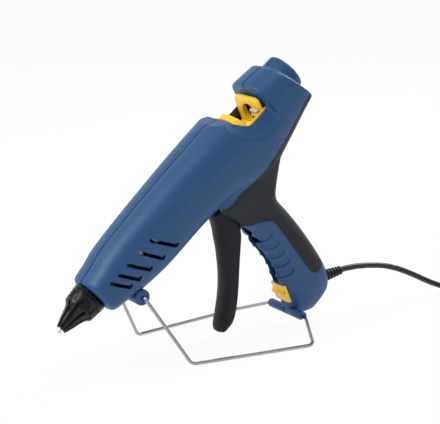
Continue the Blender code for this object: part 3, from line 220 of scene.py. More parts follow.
# Round black two-core mains cord: it comes level out of the ribbed sleeve at the heel, sags to the
# bench behind the tool, and the rest is wound in two flat layers. Moulded in soft black vinyl.
cord_radius = 0.0027
cord_start = -0.076875
cord_route = [
    (0.2400, 0.0, 0.0437), (0.2600, 0.0, 0.0418), (0.2817, 0.0, 0.0372), (0.3030, 0.0, 0.0286),
    (0.3250, 0.0, 0.0175), (0.3440, 0.0, 0.0085), (0.3600, 0.0, 0.0046),
]
relief_foot = Vector((0.2080, 0.0, -0.1742))
relief_run = Vector((math.cos(math.radians(8) - tip_angle), 0.0, math.sin(math.radians(8) - tip_angle)))
relief_length = 0.0215
loop_count = 10
loop_radius = 0.0310
loop_step = 0.0060
loop_rise = 0.0061
coil_x = 0.3800 + cord_start
coil_floor = 0.0042
coil_lead = 0.0400
plug_level = 0.0073
cord_black = finish_coat("cord_vinyl", (0.010, 0.010, 0.011), 0.42, grain=700.0, depth=0.15)


def splined(rows, steps):
    """Rows of numbers filled in along a smooth curve, steps to each gap."""
    rows = [Vector(row) for row in rows]
    ends = [rows[0] * 2 - rows[1]] + rows + [rows[-1] * 2 - rows[-2]]
    filled = []
    for a, b, c, d in zip(ends, ends[1:], ends[2:], ends[3:]):
        for k in range(steps):
            t = k / steps
            filled.append(b + ((c - a) * t + (a * 2 - b * 5 + c * 4 - d) * t * t
                               + (b * 3 - a - c * 3 + d) * t ** 3) / 2)
    return filled + [rows[-1]]


def through(points, spacing):
    """Evenly spaced points on a smooth curve through the given ones."""
    fine = splined(points, 20)
    even = [fine[0]]
    for point in fine[1:]:
        if (point - even[-1]).length >= spacing:
            even.append(point)
    even[-1] = points[-1]
    return even


cord_exit = onto_stand @ (relief_foot + relief_run * (relief_length - 0.0205))
cord_ahead = onto_stand @ (relief_foot + relief_run * (relief_length + cord_radius * 2))
lay = [Vector((x + cord_start, y, z)) for x, y, z in cord_route]
loops = []
layer_loops = loop_count // 2
loop_outer = loop_radius + layer_loops * loop_step / 2
for k in range(loop_count * 24 + 1):
    passed = k / 24
    inward = passed / layer_loops if passed <= layer_loops else (loop_count - passed) / layer_loops
    climb = min(max((passed - layer_loops + 0.25) * 2, 0.0), 1.0)
    reach = loop_outer - layer_loops * loop_step * inward
    turn = math.pi / 2 - math.tau * passed
    loops.append(Vector((coil_x + reach * math.cos(turn), reach * math.sin(turn) - loop_outer,
                         coil_floor + climb * loop_rise)))
drop = loops[-1].z - plug_level
loops[0] = Vector((coil_x, 0.0, coil_floor))
for share, height in [(0.25, 1.0), (0.5, 0.6), (0.75, 0.2), (0.9, 0.0), (1.0, 0.0)]:
    loops.append(Vector((coil_x + coil_lead * share, 0.0, plug_level + drop * height)))
free = through([cord_exit, cord_ahead] + lay, cord_radius * 4.4)
free += [Vector((coil_x - cord_radius * share, 0.0, coil_floor)) for share in (6, 2)]
cord_points = free + loops

vein = bpy.data.curves.new("mains_cord", "CURVE")
vein.dimensions = "3D"
line = vein.splines.new("POLY")
line.points.add(len(cord_points) - 1)
for slot, point in zip(line.points, cord_points):
    slot.co = (*point, 1.0)
vein.bevel_depth = cord_radius
vein.bevel_resolution = 6
vein.use_fill_caps = True
mains_cord = bpy.data.objects.new("mains_cord", vein)
bpy.context.scene.collection.objects.link(mains_cord)
vein.materials.append(cord_black)
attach(mains_cord, "gun_body")
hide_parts("power_cord", "cord_coil")

recoat(["plug_body"], "plug_vinyl", (0.012, 0.012, 0.013), 0.38, grain=600.0, depth=0.2)
recoat(["plug_pin_left", "plug_pin_right"], "pin_plate", (0.78, 0.66, 0.40), 0.25, metallic=1.0, grain=300.0,
       depth=0.1)

# Casing: two glass-filled nylon halves that meet on the barrel's mid-plane and are screwed together
# from the right. Barrel, neck, handle and tail tube are one smooth moulded form with a fine grain,
# a 3 mm wall, five vent slots a side, a saddle for loading and a knob each side for the stand.
barrel_length = 0.300
barrel_half = 0.030
axis_drop = 0.003
wall = 0.0032
barrel_shares = [
    (0.1385, 0.44, -0.52, 0.68), (0.1415, 0.51, -0.60, 0.75), (0.149, 0.55, -0.65, 0.79),
    (0.160, 0.575, -0.685, 0.81), (0.190, 0.62, -0.75, 0.83),
    (0.243, 0.74, -0.885, 0.87), (0.350, 0.81, -1.015, 0.92),
    (0.500, 0.86, -1.00, 0.98), (0.613, 0.87, -1.10, 1.03), (0.690, 0.87, -1.42, 1.03),
    (0.755, 0.87, -1.66, 1.01), (0.873, 0.85, -1.35, 0.97), (0.953, 0.77, -1.10, 0.92),
    (1.030, 0.70, -0.90, 0.87),
]
handle_start, handle_length, handle_depth, handle_half = 0.198, 0.186, 0.045, 0.0175
handle_shares = [
    (-0.50, -0.15, 1.45, -0.13, 1.30, 1.8), (-0.64, -0.20, 1.20, -0.20, 1.32, 1.8),
    (-0.56, -0.27, 0.88, -0.27, 1.17, 1.7), (-0.52, -0.325, 0.65, -0.325, 1.09, 1.4),
    (-0.50, -0.37, 0.52, -0.365, 1.04, 1.2), (-0.485, -0.42, 0.475, -0.41, 1.00, 1.0),
    (-0.455, -0.50, 0.49, -0.49, 1.00, 1.0), (-0.45, -0.58, 0.49, -0.59, 1.00, 1.0),
    (-0.485, -0.65, 0.475, -0.67, 1.00, 1.0), (-0.60, -0.73, 0.45, -0.755, 1.00, 1.0),
    (-0.70, -0.81, 0.405, -0.845, 0.98, 1.0), (-0.78, -0.862, 0.33, -0.915, 0.92, 1.0),
    (-0.875, -0.896, 0.15, -0.973, 0.80, 1.0), (-0.83, -0.922, -0.33, -0.995, 0.56, 1.0),
]
rear_face, rear_lean = 0.2940, math.radians(16)
tail_start, tail_end, tail_radius, tail_bore, tail_lift = 0.270, 0.3030, 0.0180, 0.0072, 0.0012
wide = 0.08
seam_half = 0.00015
casing_blue = finish_coat("casing_blue", (0.0080, 0.066, 0.195), 0.44, grain=1500.0, depth=0.45, variation=0.10)


def section(low, middle, high, half, power, count=72):
    """Rounded-square section across the body: low and high lie in the parting plane."""
    points = []
    for k in range(count):
        c, s = math.cos(math.tau * k / count), math.sin(math.tau * k / count)
        spot = middle + ((high if c >= 0 else low) - middle) * abs(c) ** (2 / power)
        points.append(Vector((spot.x, math.copysign(half * abs(s) ** (2 / power), s), spot.y)))
    return points


def loft(bm, rings, cap=True, closed=False):
    """Closed skin through equal rings of points, each begun as a circle."""
    edges = []
    for k, ring in enumerate(rings):
        ends = cap and k in (0, len(rings) - 1)
        made = bmesh.ops.create_circle(bm, cap_ends=ends, segments=len(ring), radius=1.0)["verts"]
        for vert, point in zip(made, ring):
            vert.co = point
        edges.append(list({e for v in made for e in v.link_edges}))
    for first, second in zip(edges, edges[1:] + edges[:1] if closed else edges[1:]):
        bmesh.ops.bridge_loops(bm, edges=first + second)
    bmesh.ops.recalc_face_normals(bm, faces=bm.faces[:])


def turned(bm, profile, sides=48, around=Matrix.Identity(4)):
    """Closed profile of (x, radius) spun once about the barrel's axis."""
    verts = [bm.verts.new((x, 0.0, radius)) for x, radius in profile]
    edges = [bm.edges.new((a, b)) for a, b in zip(verts, verts[1:] + verts[:1])]
    bmesh.ops.spin(bm, geom=verts + edges, cent=(0, 0, 0), axis=(1, 0, 0), angle=math.tau, steps=sides,
                   use_merge=True)
    bmesh.ops.remove_doubles(bm, verts=bm.verts[:], dist=0.000002)
    bmesh.ops.recalc_face_normals(bm, faces=bm.faces[:])
    bmesh.ops.transform(bm, matrix=around, verts=bm.verts[:])


def pulled(bm, points, shift):
    """Flat outline pulled along a shift. It gives the points of both ends."""
    face = bm.faces.new([bm.verts.new(point) for point in points])
    made = bmesh.ops.extrude_face_region(bm, geom=[face])
    top = [v for v in made["geom"] if isinstance(v, bmesh.types.BMVert)]
    bmesh.ops.translate(bm, verts=top, vec=shift)
    return top + list(face.verts)


def plate(bm, outline, low, high):
    """Outline of (x, z) pulled across the body from y = low to y = high."""
    ends = pulled(bm, [(x, low, z) for x, z in outline], (0, high - low, 0))
    skin = list({f for v in ends for f in v.link_faces})
    bmesh.ops.recalc_face_normals(bm, faces=skin)
    return skin


def bar(bm, start, end, radius, sides=48, aside=(0, 0)):
    """Round bar along the barrel, on its axis or aside from it."""
    place = Matrix.Translation(((start + end) / 2, *aside)) @ Matrix.Rotation(math.pi / 2, 4, "Y")
    bmesh.ops.create_cone(bm, cap_ends=True, segments=sides, radius1=radius, radius2=radius, depth=end - start,
                          matrix=place)


def disc(centre, radius, sides=32):
    turns = [math.tau * k / sides for k in range(sides)]
    return [(centre[0] + radius * math.cos(t), centre[1] + radius * math.sin(t)) for t in turns]


def oblong(start, end, low, high):
    return [(start, low), (start, high), (end, high), (end, low)]


def capsule(start, end, radius):
    """Outline of a slot with round ends."""
    run = (end - start).normalized()
    side = Vector((run.y, -run.x))
    turns = [math.pi * k / 8 for k in range(9)]
    outline = [start + (side * math.cos(t) - run * math.sin(t)) * radius for t in turns]
    outline += [end + (run * math.sin(t) - side * math.cos(t)) * radius for t in turns]
    return [tuple(point) for point in outline]


def rough_object(bm, name):
    """Working piece that a later step uses up."""
    if bm.calc_volume(signed=True) < 0:
        bmesh.ops.reverse_faces(bm, faces=bm.faces[:])
    mesh = bpy.data.meshes.new(name)
    bm.to_mesh(mesh)
    bm.free()
    made = bpy.data.objects.new(name, mesh)
    bpy.context.scene.collection.objects.link(made)
    return made


def settled(item):
    """Replace the object's mesh with what its modifiers make of it."""
    graph = bpy.context.evaluated_depsgraph_get()
    graph.update()
    mesh = bpy.data.meshes.new_from_object(item.evaluated_get(graph), depsgraph=graph)
    item.modifiers.clear()
    item.data = mesh
    return item


def worked(item, tool, operation, keep=False):
    """Cut, join or intersect with a tool."""
    step = item.modifiers.new("work", "BOOLEAN")
    step.operation = operation
    step.solver = "EXACT"
    step.object = tool
    settled(item)
    if not keep:
        bpy.data.objects.remove(tool, do_unlink=True)
    return item


def tooled(item, name, plates, operation="DIFFERENCE"):
    """Work on an item with plates, each an outline and its two levels across the body."""
    bm = bmesh.new()
    for outline, low, high in plates:
        plate(bm, outline, low, high)
    return worked(item, rough_object(bm, name), operation)


def taken(item):
    """The points and faces of a working piece, which itself goes."""
    bm = bmesh.new()
    bm.from_mesh(item.data)
    bpy.data.objects.remove(item, do_unlink=True)
    return bm


def copied(item, name):
    made = rough_object(bmesh.new(), name)
    made.data = item.data.copy()
    return made


def evened(item, voxel, rounds):
    """One even skin over overlapping forms, its joins eased like a moulded radius."""
    step = item.modifiers.new("skin", "REMESH")
    step.mode = "VOXEL"
    step.voxel_size = voxel
    settled(item)
    bm = bmesh.new()
    bm.from_mesh(item.data)
    for _ in range(rounds):
        bmesh.ops.smooth_vert(bm, verts=bm.verts[:], factor=0.5, use_axis_x=True, use_axis_y=True,
                                 use_axis_z=True)
    bm.to_mesh(item.data)
    bm.free()
    return item


def sink(moves):
    for vert, move in moves:
        vert.co -= move


def shrunk(item, depth, name):
    """Copy of a skin drawn in along its normals."""
    bm = bmesh.new()
    bm.from_mesh(item.data)
    bm.normal_update()
    sink([(v, v.normal * depth) for v in bm.verts])
    return rough_object(bm, name)


def grooved(item, depth):
    """Draw in a fine step each side of the parting plane, where the two halves meet."""
    bm = bmesh.new()
    bm.from_mesh(item.data)
    for y in (-0.0042, -0.0036, -0.0009, -0.0005, 0.0005, 0.0009, 0.0036, 0.0042):
        geom = bm.verts[:] + bm.edges[:] + bm.faces[:]
        bmesh.ops.bisect_plane(bm, geom=geom, dist=0.0000005, plane_co=(0, y, 0), plane_no=(0, 1, 0))
    bm.normal_update()
    moves = []
    for vert in bm.verts:
        flat = Vector((vert.normal.x, 0.0, vert.normal.z))
        if abs(vert.co.y) < 0.00051 and flat.length > 0.3:
            moves.append((vert, flat.normalized() * depth))
        elif abs(vert.co.y) < 0.0037 and vert.normal.z > 0.6 and 0.050 < vert.co.x < 0.206:
            moves.append((vert, vert.normal * depth * 0.3))
    sink(moves)
    bm.to_mesh(item.data)
    bm.free()
    return item


def crisp(item, degrees=32):
    item.data.polygons.foreach_set("use_smooth", [True] * len(item.data.polygons))
    item.data.set_sharp_from_angle(angle=math.radians(degrees))
    return item


def rear_cut(bm):
    """Trim a form along the leaning rear face."""
    lean_normal = Vector((math.cos(rear_lean), 0, math.sin(rear_lean)))
    bmesh.ops.bisect_plane(bm, geom=bm.verts[:] + bm.edges[:] + bm.faces[:], plane_co=(rear_face, 0, 0),
                           plane_no=lean_normal, clear_outer=True)
    bmesh.ops.holes_fill(bm, edges=[e for e in bm.edges if e.is_boundary], sides=0)


bm = bmesh.new()
rings = []
for x, top, bottom, half in splined(barrel_shares, 5):
    x, top, bottom, half = x * barrel_length, top * barrel_half, bottom * barrel_half, half * barrel_half
    rings.append(section(Vector((x, bottom)), Vector((x, -axis_drop)), Vector((x, top)), half, 2.7))
loft(bm, rings)
rear_cut(bm)
barrel_form = rough_object(bm, "barrel_form")

bm = bmesh.new()
rings = []
for front_x, front_z, back_x, back_z, half, square in splined(handle_shares, 4):
    front = Vector((handle_start + front_x * handle_depth, front_z * handle_length))
    back = Vector((handle_start + back_x * handle_depth, back_z * handle_length))
    rings.append(section(front, front.lerp(back, 0.58), back, half * handle_half, 2.25 * square, 64))
loft(bm, rings)
rear_cut(bm)
before = set(bm.verts)
bar(bm, tail_start, tail_end, tail_radius, 96)
bmesh.ops.translate(bm, verts=[v for v in bm.verts if v not in before], vec=(0, 0, tail_lift))
bm.from_mesh(barrel_form.data)
bpy.data.objects.remove(barrel_form, do_unlink=True)
bmesh.ops.recalc_face_normals(bm, faces=bm.faces[:])
gun_form = evened(rough_object(bm, "gun_form"), 0.0013, 1)
saddle_rows = [
    (0.2060, 0.0330, 0.0330), (0.2120, 0.0275, 0.0262), (0.2160, 0.0248, 0.0222), (0.2205, 0.0226, 0.0165),
    (0.2265, 0.0192, 0.0085), (0.2320, 0.0110, 0.0010), (0.2375, 0.0052, -0.0055), (0.2450, 0.0042, -0.0066),
    (0.2570, 0.0042, -0.0068), (0.2600, 0.0060, -0.0060), (0.2618, 0.0130, 0.0010), (0.2626, 0.0360, 0.0340),
]
bm = bmesh.new()
rings = []
for x, inner, outer in saddle_rows:
    slope = (outer - inner) / 0.0065
    foot = max(outer + slope * 0.010, -0.030)
    rings.append([Vector((x, y, z)) for y, z in (
        (-0.036, wide), (-0.036, foot), (-0.026, outer), (-0.0195, inner), (0.0195, inner), (0.026, outer),
        (0.036, foot), (0.036, wide))])
loft(bm, rings)
worked(gun_form, rough_object(bm, "saddle"), "DIFFERENCE")
evened(gun_form, 0.0012, 3)
inner_form = evened(shrunk(gun_form, wall, "inner_form"), 0.0020, 1)
rubber_floor = evened(shrunk(gun_form, 0.0015, "rubber_floor"), 0.0018, 0)
floor_form = evened(shrunk(gun_form, 0.0019, "floor_form"), 0.0018, 0)
boss_centre, boss_radius, boss_half = (0.0674, -0.0262), 0.0070, 0.0230
clip_centre, clip_radius, clip_half = (0.1612, -0.1679), 0.0040, 0.0255
clip_spot = (clip_centre[0] + math.sin(tip_angle) * 0.0012, clip_centre[1] + math.cos(tip_angle) * 0.0012)
bm = bmesh.new()
for centre, radius, half, edge in ((boss_centre, boss_radius, boss_half, 0.0016),
                                   (clip_spot, clip_radius, clip_half, 0.0009)):
    skin = plate(bm, disc(centre, radius, 40), -half, half)
    rim = [e for f in skin if abs(f.normal.y) > 0.9 for e in f.edges]
    bmesh.ops.bevel(bm, geom=rim, offset=edge, segments=4, profile=0.5, affect="EDGES", material=-1)
worked(gun_form, rough_object(bm, "knobs"), "UNION")
grooved(gun_form, 0.0010)

rubber_shares = [
    (1.080, -0.080), (1.000, -0.085), (0.900, -0.128), (0.820, -0.158), (0.753, -0.174),
    (0.697, -0.180), (0.650, -0.172), (0.612, -0.178), (0.583, -0.187), (0.565, -0.184),
    (0.548, -0.168), (0.520, -0.180), (0.520, -0.250), (0.560, -0.325), (0.579, -0.325),
    (0.602, -0.361), (0.630, -0.387), (0.654, -0.417), (0.662, -0.448), (0.660, -0.554),
    (0.656, -0.667), (0.652, -0.752), (0.653, -0.794), (0.665, -0.827), (0.682, -0.840),
    (0.760, -0.860), (0.900, -0.860), (0.900, -0.500), (1.080, -0.300),
]


def on_body(shares):
    """Side-view spots given as shares of the barrel's and the handle's length."""
    return [(x * barrel_length, z * handle_length) for x, z in shares]


def rubber_block(name, spread):
    """Side outline of the soft overmould, pulled right across, wider by the spread."""
    points = splined(on_body(rubber_shares + rubber_shares[:1]), 4)[:-1]
    bm = bmesh.new()
    outline = []
    for before, point, after in zip(points[-1:] + points, points, points[1:] + points[:1]):
        run = (after - before).normalized()
        outline.append(tuple(point + Vector((run.y, -run.x)) * -spread))
    plate(bm, outline, -wide, wide)
    return rough_object(bm, name)


skin_tool = worked(rubber_block("skin_tool", 0.0011), floor_form, "DIFFERENCE")
shell = worked(copied(gun_form, "shell"), skin_tool, "DIFFERENCE")

pivot = Vector((0.1760, -0.0400))
trigger_length = 0.100
bay_half = 0.0113
bay_shares = [
    (-0.273, 0.20), (-0.273, -0.02), (-0.433, -0.30), (-0.433, -0.50), (0.067, -0.50),
    (0.042, -0.42), (0.085, -0.30), (0.115, -0.18), (0.122, 0.02), (0.097, 0.20),
]
bay_outline = [tuple(pivot + Vector(p) * trigger_length) for p in bay_shares]
screw_spots = on_body([(0.300, -0.120), (0.507, 0.087), (0.690, -0.205), (0.925, 0.045), (0.915, -0.120),
                       (0.700, -0.500), (0.650, -0.835)])
screw_radius, screw_well, screw_seat, screw_post = 0.0018, 0.0031, 0.0090, 0.0038
tooled(inner_form, "posts", [(disc(spot, screw_post), -wide, wide) for spot in screw_spots])
bm = bmesh.new()
bar(bm, -0.01, 0.0485, 0.0108)
bar(bm, tail_start - wall * 4, 0.36, tail_bore)
worked(inner_form, rough_object(bm, "mouth_and_bore"), "UNION")

worked(shell, inner_form, "DIFFERENCE")

vent_width = 0.0031
vent_spots = [(0.1045, 0.0070, 0.1174, -0.0148), (0.0910, 0.0065, 0.1017, -0.0134),
              (0.0766, 0.0070, 0.0872, -0.0112), (0.0655, 0.0066, 0.0750, -0.0098),
              (0.0560, 0.0063, 0.0650, -0.0084)]
well_half, well_front, well_rear = 0.0202, 0.2275, 0.2615
roof = [(0.2160, -0.008), (0.2160, 0.0190), (well_front, 0.0190), (well_front, wide), (well_rear, wide),
        (well_rear, -0.008)]
openings = [(roof, -well_half, well_half)]
slots = [(Vector(spot[:2]), Vector(spot[2:])) for spot in vent_spots]
openings += [(capsule(top, foot, vent_width / 2), -wide, -0.012) for top, foot in slots]
down = Vector((-math.sin(tip_angle), -math.cos(tip_angle)))
side = Vector((down.y, -down.x))
wire_room, wire_mouth = 0.0017, 0.012
turns = [math.pi * k / 12 for k in range(13)]
arc = [Vector(clip_centre) - side * wire_room * math.cos(t) - down * wire_room * math.sin(t) for t in turns]
arc = [arc[0] + down * wire_mouth] + arc + [arc[-1] + down * wire_mouth]
openings.append(([tuple(p) for p in arc], -wide, wide))
slider_top, slider_foot = Vector((0.1712, -0.1405)), Vector((0.1655, -0.1575))
slider_down = (slider_foot - slider_top).normalized()
slider_out = Vector((slider_down.y, -slider_down.x))
high, low = slider_top - slider_down * 0.0003, slider_foot + slider_down * 0.0003
pocket = [tuple(end + slider_out * out)
          for end, out in ((high, 0.03), (high, -0.0026), (low, -0.0026), (low, 0.03))]
openings += [(pocket, -0.0108, 0.0108), (disc(boss_centre, wire_room, 20), -wide, -0.0117)]
tooled(shell, "openings", openings)

hook_turn = Vector((0.0021, 0.0004))
tooled(shell, "vent_hooks", [(capsule(foot, foot + hook_turn, vent_width * 0.46), -wide + 0.001, -0.0122)
                             for top, foot in slots])

bm = bmesh.new()
rings = []
fronts = [(handle_start + row[0] * handle_depth, row[1] * handle_length) for row in handle_shares[4:11]]
for x, z in splined(fronts, 12):
    if -0.1385 < z < -0.0850:
        half = 0.0034 + 0.0012 * abs(math.sin((z + 0.0850) / 0.0114 * math.pi))
        rings.append([Vector((x + out, y, z)) for out, y in (
            (-0.006, -half), (-0.006, half), (0.006, half), (0.006, -half))])
loft(bm, rings)
worked(shell, rough_object(bm, "finger_channel"), "DIFFERENCE")

rubber = copied(gun_form, "rubber")
worked(rubber, worked(rubber_block("rubber_tool", 0.0), rubber_floor, "DIFFERENCE"), "INTERSECT")
tooled(rubber, "bay", [(bay_outline, -bay_half - 0.0003, bay_half + 0.0003)])
bpy.data.objects.remove(gun_form, do_unlink=True)
near_side = [(-wide, -0.3), (0.4, -0.3), (0.4, wide), (-wide, wide)]
for form in (shell, rubber):
    tooled(form, "near_slab", [(near_side, -wide, -seam_half)], "INTERSECT")
tooled(shell, "bay", [(bay_outline, -bay_half, 0.002)])


def nearest(point, line):
    """Distance from a point to a line of points, how far along it, and which side it lies on."""
    best = (1.0, 0.0, 1.0)
    last = len(line) - 1
    for k, (a, b) in enumerate(zip(line, line[1:])):
        run = b - a
        share = min(max((point - a).dot(run) / run.length_squared, 0.0), 1.0)
        gap = point - a - run * share
        if gap.length < best[0]:
            best = (gap.length, (k + share) / last, math.copysign(1.0, run.x * gap.y - run.y * gap.x))
    return best


def carved(item, low, high, rounds, depth_at):
    """Finely cut the near outer skin between two (x, z) corners and sink it by depth_at."""
    bm = bmesh.new()
    bm.from_mesh(item.data)
    bm.normal_update()

    def inside(v):
        return (low[0] < v.co.x < high[0] and low[1] < v.co.z < high[1] and v.normal.y < -0.12)

    for level in range(rounds):
        cut = [e for e in bm.edges if inside(e.verts[0]) and inside(e.verts[1]) and e.calc_length() > 0.0004
               and (level == 0 or depth_at(((e.verts[0].co + e.verts[1].co) / 2).xz, e.verts[0].co.y))]
        bmesh.ops.subdivide_edges(bm, edges=cut, cuts=1, use_grid_fill=True)
        bm.normal_update()
    moves = []
    for vert in bm.verts:
        if inside(vert):
            depth = depth_at(Vector((vert.co.x, vert.co.z)), vert.co.y)
            if depth:
                moves.append((vert, vert.normal * depth))
    sink(moves)
    bm.to_mesh(item.data)
    bm.free()
    return item


rib_shares = [
    [(0.5868, -0.4473), (0.6019, -0.4741), (0.6222, -0.4862), (0.6440, -0.4803)],
    [(0.5837, -0.5084), (0.6011, -0.5367), (0.6224, -0.5471), (0.6439, -0.5403)],
    [(0.5808, -0.5698), (0.5962, -0.5968), (0.6176, -0.6073), (0.6406, -0.5971)],
    [(0.5741, -0.6289), (0.5887, -0.6524), (0.6128, -0.6635), (0.6354, -0.6540)],
    [(0.5651, -0.6874), (0.5801, -0.7104), (0.6053, -0.7197), (0.6287, -0.7070)],
]
ribs = [splined(on_body(rib), 4) for rib in rib_shares]
rubber_edge = splined(on_body(rubber_shares[10:27]), 3)
rib_lift, rib_reach, rib_crease, crease_width = 0.0013, 0.0062, 0.0011, 0.0009
lip_width, lip_height = 0.0016, 0.0004


def rib_depth(point, y):
    """Overlapping finger ribs and a raised lip round the rubber."""
    depth = 0.0
    for rib in ribs:
        away, along, side = nearest(point, rib)
        fade = min(along * 5.0, (1.0 - along) * 9.0, 1.0)
        if side > 0 and away < rib_reach:
            depth -= rib_lift * fade * (1 - away / rib_reach) ** 1.5 * min(away / 0.0006, 1.0)
        if away < crease_width:
            depth += rib_crease * fade * (1 - away / crease_width)
    away = nearest(point, rubber_edge)[0]
    if away < lip_width:
        depth -= lip_height * math.sin(math.pi * away / lip_width)
    return depth


carved(shell, (0.158, -0.146), (0.212, -0.058), 2, rib_depth)

tooled(shell, "pilots", [(disc(spot, screw_radius, 20), -screw_seat, 0.004) for spot in screw_spots])
well_plates = []
for spot in screw_spots:
    well_plates += [(disc(spot, screw_radius, 20), -0.004, screw_seat + 0.001),
                    (disc(spot, screw_well), screw_seat, wide)]
wells = tooled(rough_object(bmesh.new(), "wells"), "well_tool", well_plates, "UNION")


def both_sides(form, left, right, material, nodes):
    """The near half and its mirror image on the far side of the parting plane."""
    made = []
    for name, node, flip in zip((left, right), nodes, (1, -1)):
        bm = bmesh.new()
        bm.from_mesh(form.data)
        if flip < 0:
            bmesh.ops.scale(bm, vec=(1, -1, 1), verts=bm.verts[:])
            bmesh.ops.reverse_faces(bm, faces=bm.faces[:])
            bm = taken(worked(rough_object(bm, "far"), wells, "DIFFERENCE", keep=True))
        made.append(crisp(finished(name, bm, material, "gun_body", [node])))
    bpy.data.objects.remove(form, do_unlink=True)
    return made


for half in both_sides(shell, "casing_near", "casing_far", casing_blue, ["housing_left", "housing_right"]):
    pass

# Grip rubber: charcoal elastomer moulded over the neck and the handle's back, flush with the casing
# and parted from it by a fine groove. Its surface is matt with a slightly coarser grain.
rim_width = 0.0022


def rim_depth(point, y):
    away = nearest(point, rubber_edge)[0]
    return 0.0006 * (1 - away / rim_width) if away < rim_width else 0.0


carved(rubber, (0.150, -0.170), (0.330, -0.010), 0, rim_depth)
grip_charcoal = finish_coat("grip_charcoal", (0.0165, 0.0178, 0.0235), 0.58, grain=1100.0, depth=0.5,
                            variation=0.12, specular=0.28)
for half in both_sides(rubber, "grip_near", "grip_far", grip_charcoal,
                       ["grip_rubber_left", "grip_rubber_right"]):
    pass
bpy.data.objects.remove(wells, do_unlink=True)

# Trigger: a long curved paddle of black nylon on a cross pin, its edges fully rounded for the fingers.
# A short arm above the pin reaches into the barrel and pushes the feed carriage's link.
trigger_rows = [
    (-0.118, 0.020, 0.027, 0.025, 1.0), (-0.165, -0.090, 0.037, -0.060, 1.0),
    (-0.222, -0.185, 0.035, -0.142, 1.0), (-0.280, -0.285, 0.014, -0.226, 1.0),
    (-0.338, -0.372, -0.032, -0.305, 1.0), (-0.400, -0.462, -0.110, -0.384, 1.0),
    (-0.474, -0.552, -0.220, -0.494, 1.0), (-0.556, -0.632, -0.335, -0.614, 1.0),
    (-0.642, -0.702, -0.430, -0.708, 1.0), (-0.722, -0.762, -0.512, -0.778, 1.0),
    (-0.762, -0.805, -0.575, -0.822, 0.98), (-0.760, -0.832, -0.628, -0.846, 0.88),
    (-0.745, -0.850, -0.672, -0.855, 0.66),
]
trigger_half = 0.0103
trigger_black = finish_coat("trigger_black", (0.0075, 0.0088, 0.0125), 0.44, grain=1000.0, depth=0.35,
                            variation=0.1, specular=0.22)
bm = bmesh.new()
rings = []
for front_x, front_z, back_x, back_z, half in splined(trigger_rows, 3):
    front = pivot + Vector((front_x, front_z)) * trigger_length
    back = pivot + Vector((back_x, back_z)) * trigger_length
    middle = front.lerp(back, 0.40)
    ring = []
    for k in range(48):
        c, sway = math.cos(math.tau * k / 48), math.sin(math.tau * k / 48)
        power = 7.0 if c >= 0 else 2.15
        spot = middle + ((back if c >= 0 else front) - middle) * abs(c) ** (2 / power)
        reach = half * trigger_half * (0.93 if c >= 0 else 1.0) * abs(sway) ** (2 / power)
        ring.append(Vector((spot.x, math.copysign(reach, sway), spot.y)))
    rings.append(ring)
loft(bm, rings)
blade = rough_object(bm, "blade")
arm = [(-0.00475, -0.0095), (0.00285, -0.0095), (0.00475, 0.0), (0.00475, 0.0280), (0.0024, 0.0324),
       (-0.0024, 0.0324), (-0.00475, 0.0280)]
tooled(blade, "arm", [([tuple(pivot + Vector(p)) for p in arm], -0.0052, 0.0052)], "UNION")
crisp(finished("trigger_paddle", taken(blade), trigger_black, "trigger", ["trigger"]), 40)

# Nozzle: a turned brass nose, its tip bright from use, inside a black silicone heat guard. The guard
# has a banded collar with a raised zigzag line, and ten gaps down its cone leave fins between them.
nozzle_length = 0.0467
guard_start, guard_shoulder, guard_end = 0.0032, 0.0414, 0.0460
guard_radius, guard_neck = 0.0150, 0.0104
guard_rows = [
    (0.0032, 0.0044), (0.0040, 0.0048), (0.0110, 0.0072), (0.0165, 0.0088), (0.0205, 0.0102), (0.0228, 0.0118),
    (0.0243, 0.0134), (0.0252, 0.0139), (0.0262, 0.0141),
]
zigzag_low, zigzag_high, zigzag_count, zigzag_width, zigzag_depth = 0.0280, 0.0336, 7, 0.00055, 0.0009
fin_count, fin_gap, fin_turn = 10, 0.0024, math.radians(11)
guard_black = finish_coat("guard_silicone", (0.0040, 0.0045, 0.0060), 0.27, grain=800.0, depth=0.25,
                          variation=0.2, specular=0.3)
bm = bmesh.new()
fine_rows = [(0.0262 + 0.00036 * k, 0.0141 + 0.000035 * k) for k in range(1, 24)]
band_rows = [(0.0352, 0.0150), (0.0357, 0.0154), (0.0366, 0.0154), (0.0370, 0.0147), (0.0376, 0.0147),
             (0.0381, 0.0154), (0.0402, 0.0153), (0.0410, 0.0147), (0.0414, 0.0138)]
inner = [(guard_shoulder, guard_neck), (guard_end, guard_neck), (guard_end, 0.0079),
         (nozzle_length * 0.5, 0.0079), (guard_start, 0.0034)]
turned(bm, guard_rows + fine_rows + band_rows + inner, 192)
for vert in bm.verts:
    if 0.0264 < vert.co.x < 0.0345 and vert.co.yz.length > 0.0128:
        step = (math.atan2(vert.co.y, vert.co.z) / math.tau + 1.0) * zigzag_count % 1.0
        level = zigzag_low if step < 0.5 else zigzag_high
        riser = min(abs(step - 0.5), step, 1.0 - step) * math.tau * guard_radius / zigzag_count
        between = zigzag_low - zigzag_width < vert.co.x < zigzag_high + zigzag_width
        if abs(vert.co.x - level) < zigzag_width or (riser < zigzag_width and between):
            out = vert.co.yz.normalized() * zigzag_depth
            vert.co -= Vector((0.0, out.x, out.y))
guard = rough_object(bm, "guard")
cone_slope = math.atan2(0.0088 - 0.0039, 0.0252 - guard_start)
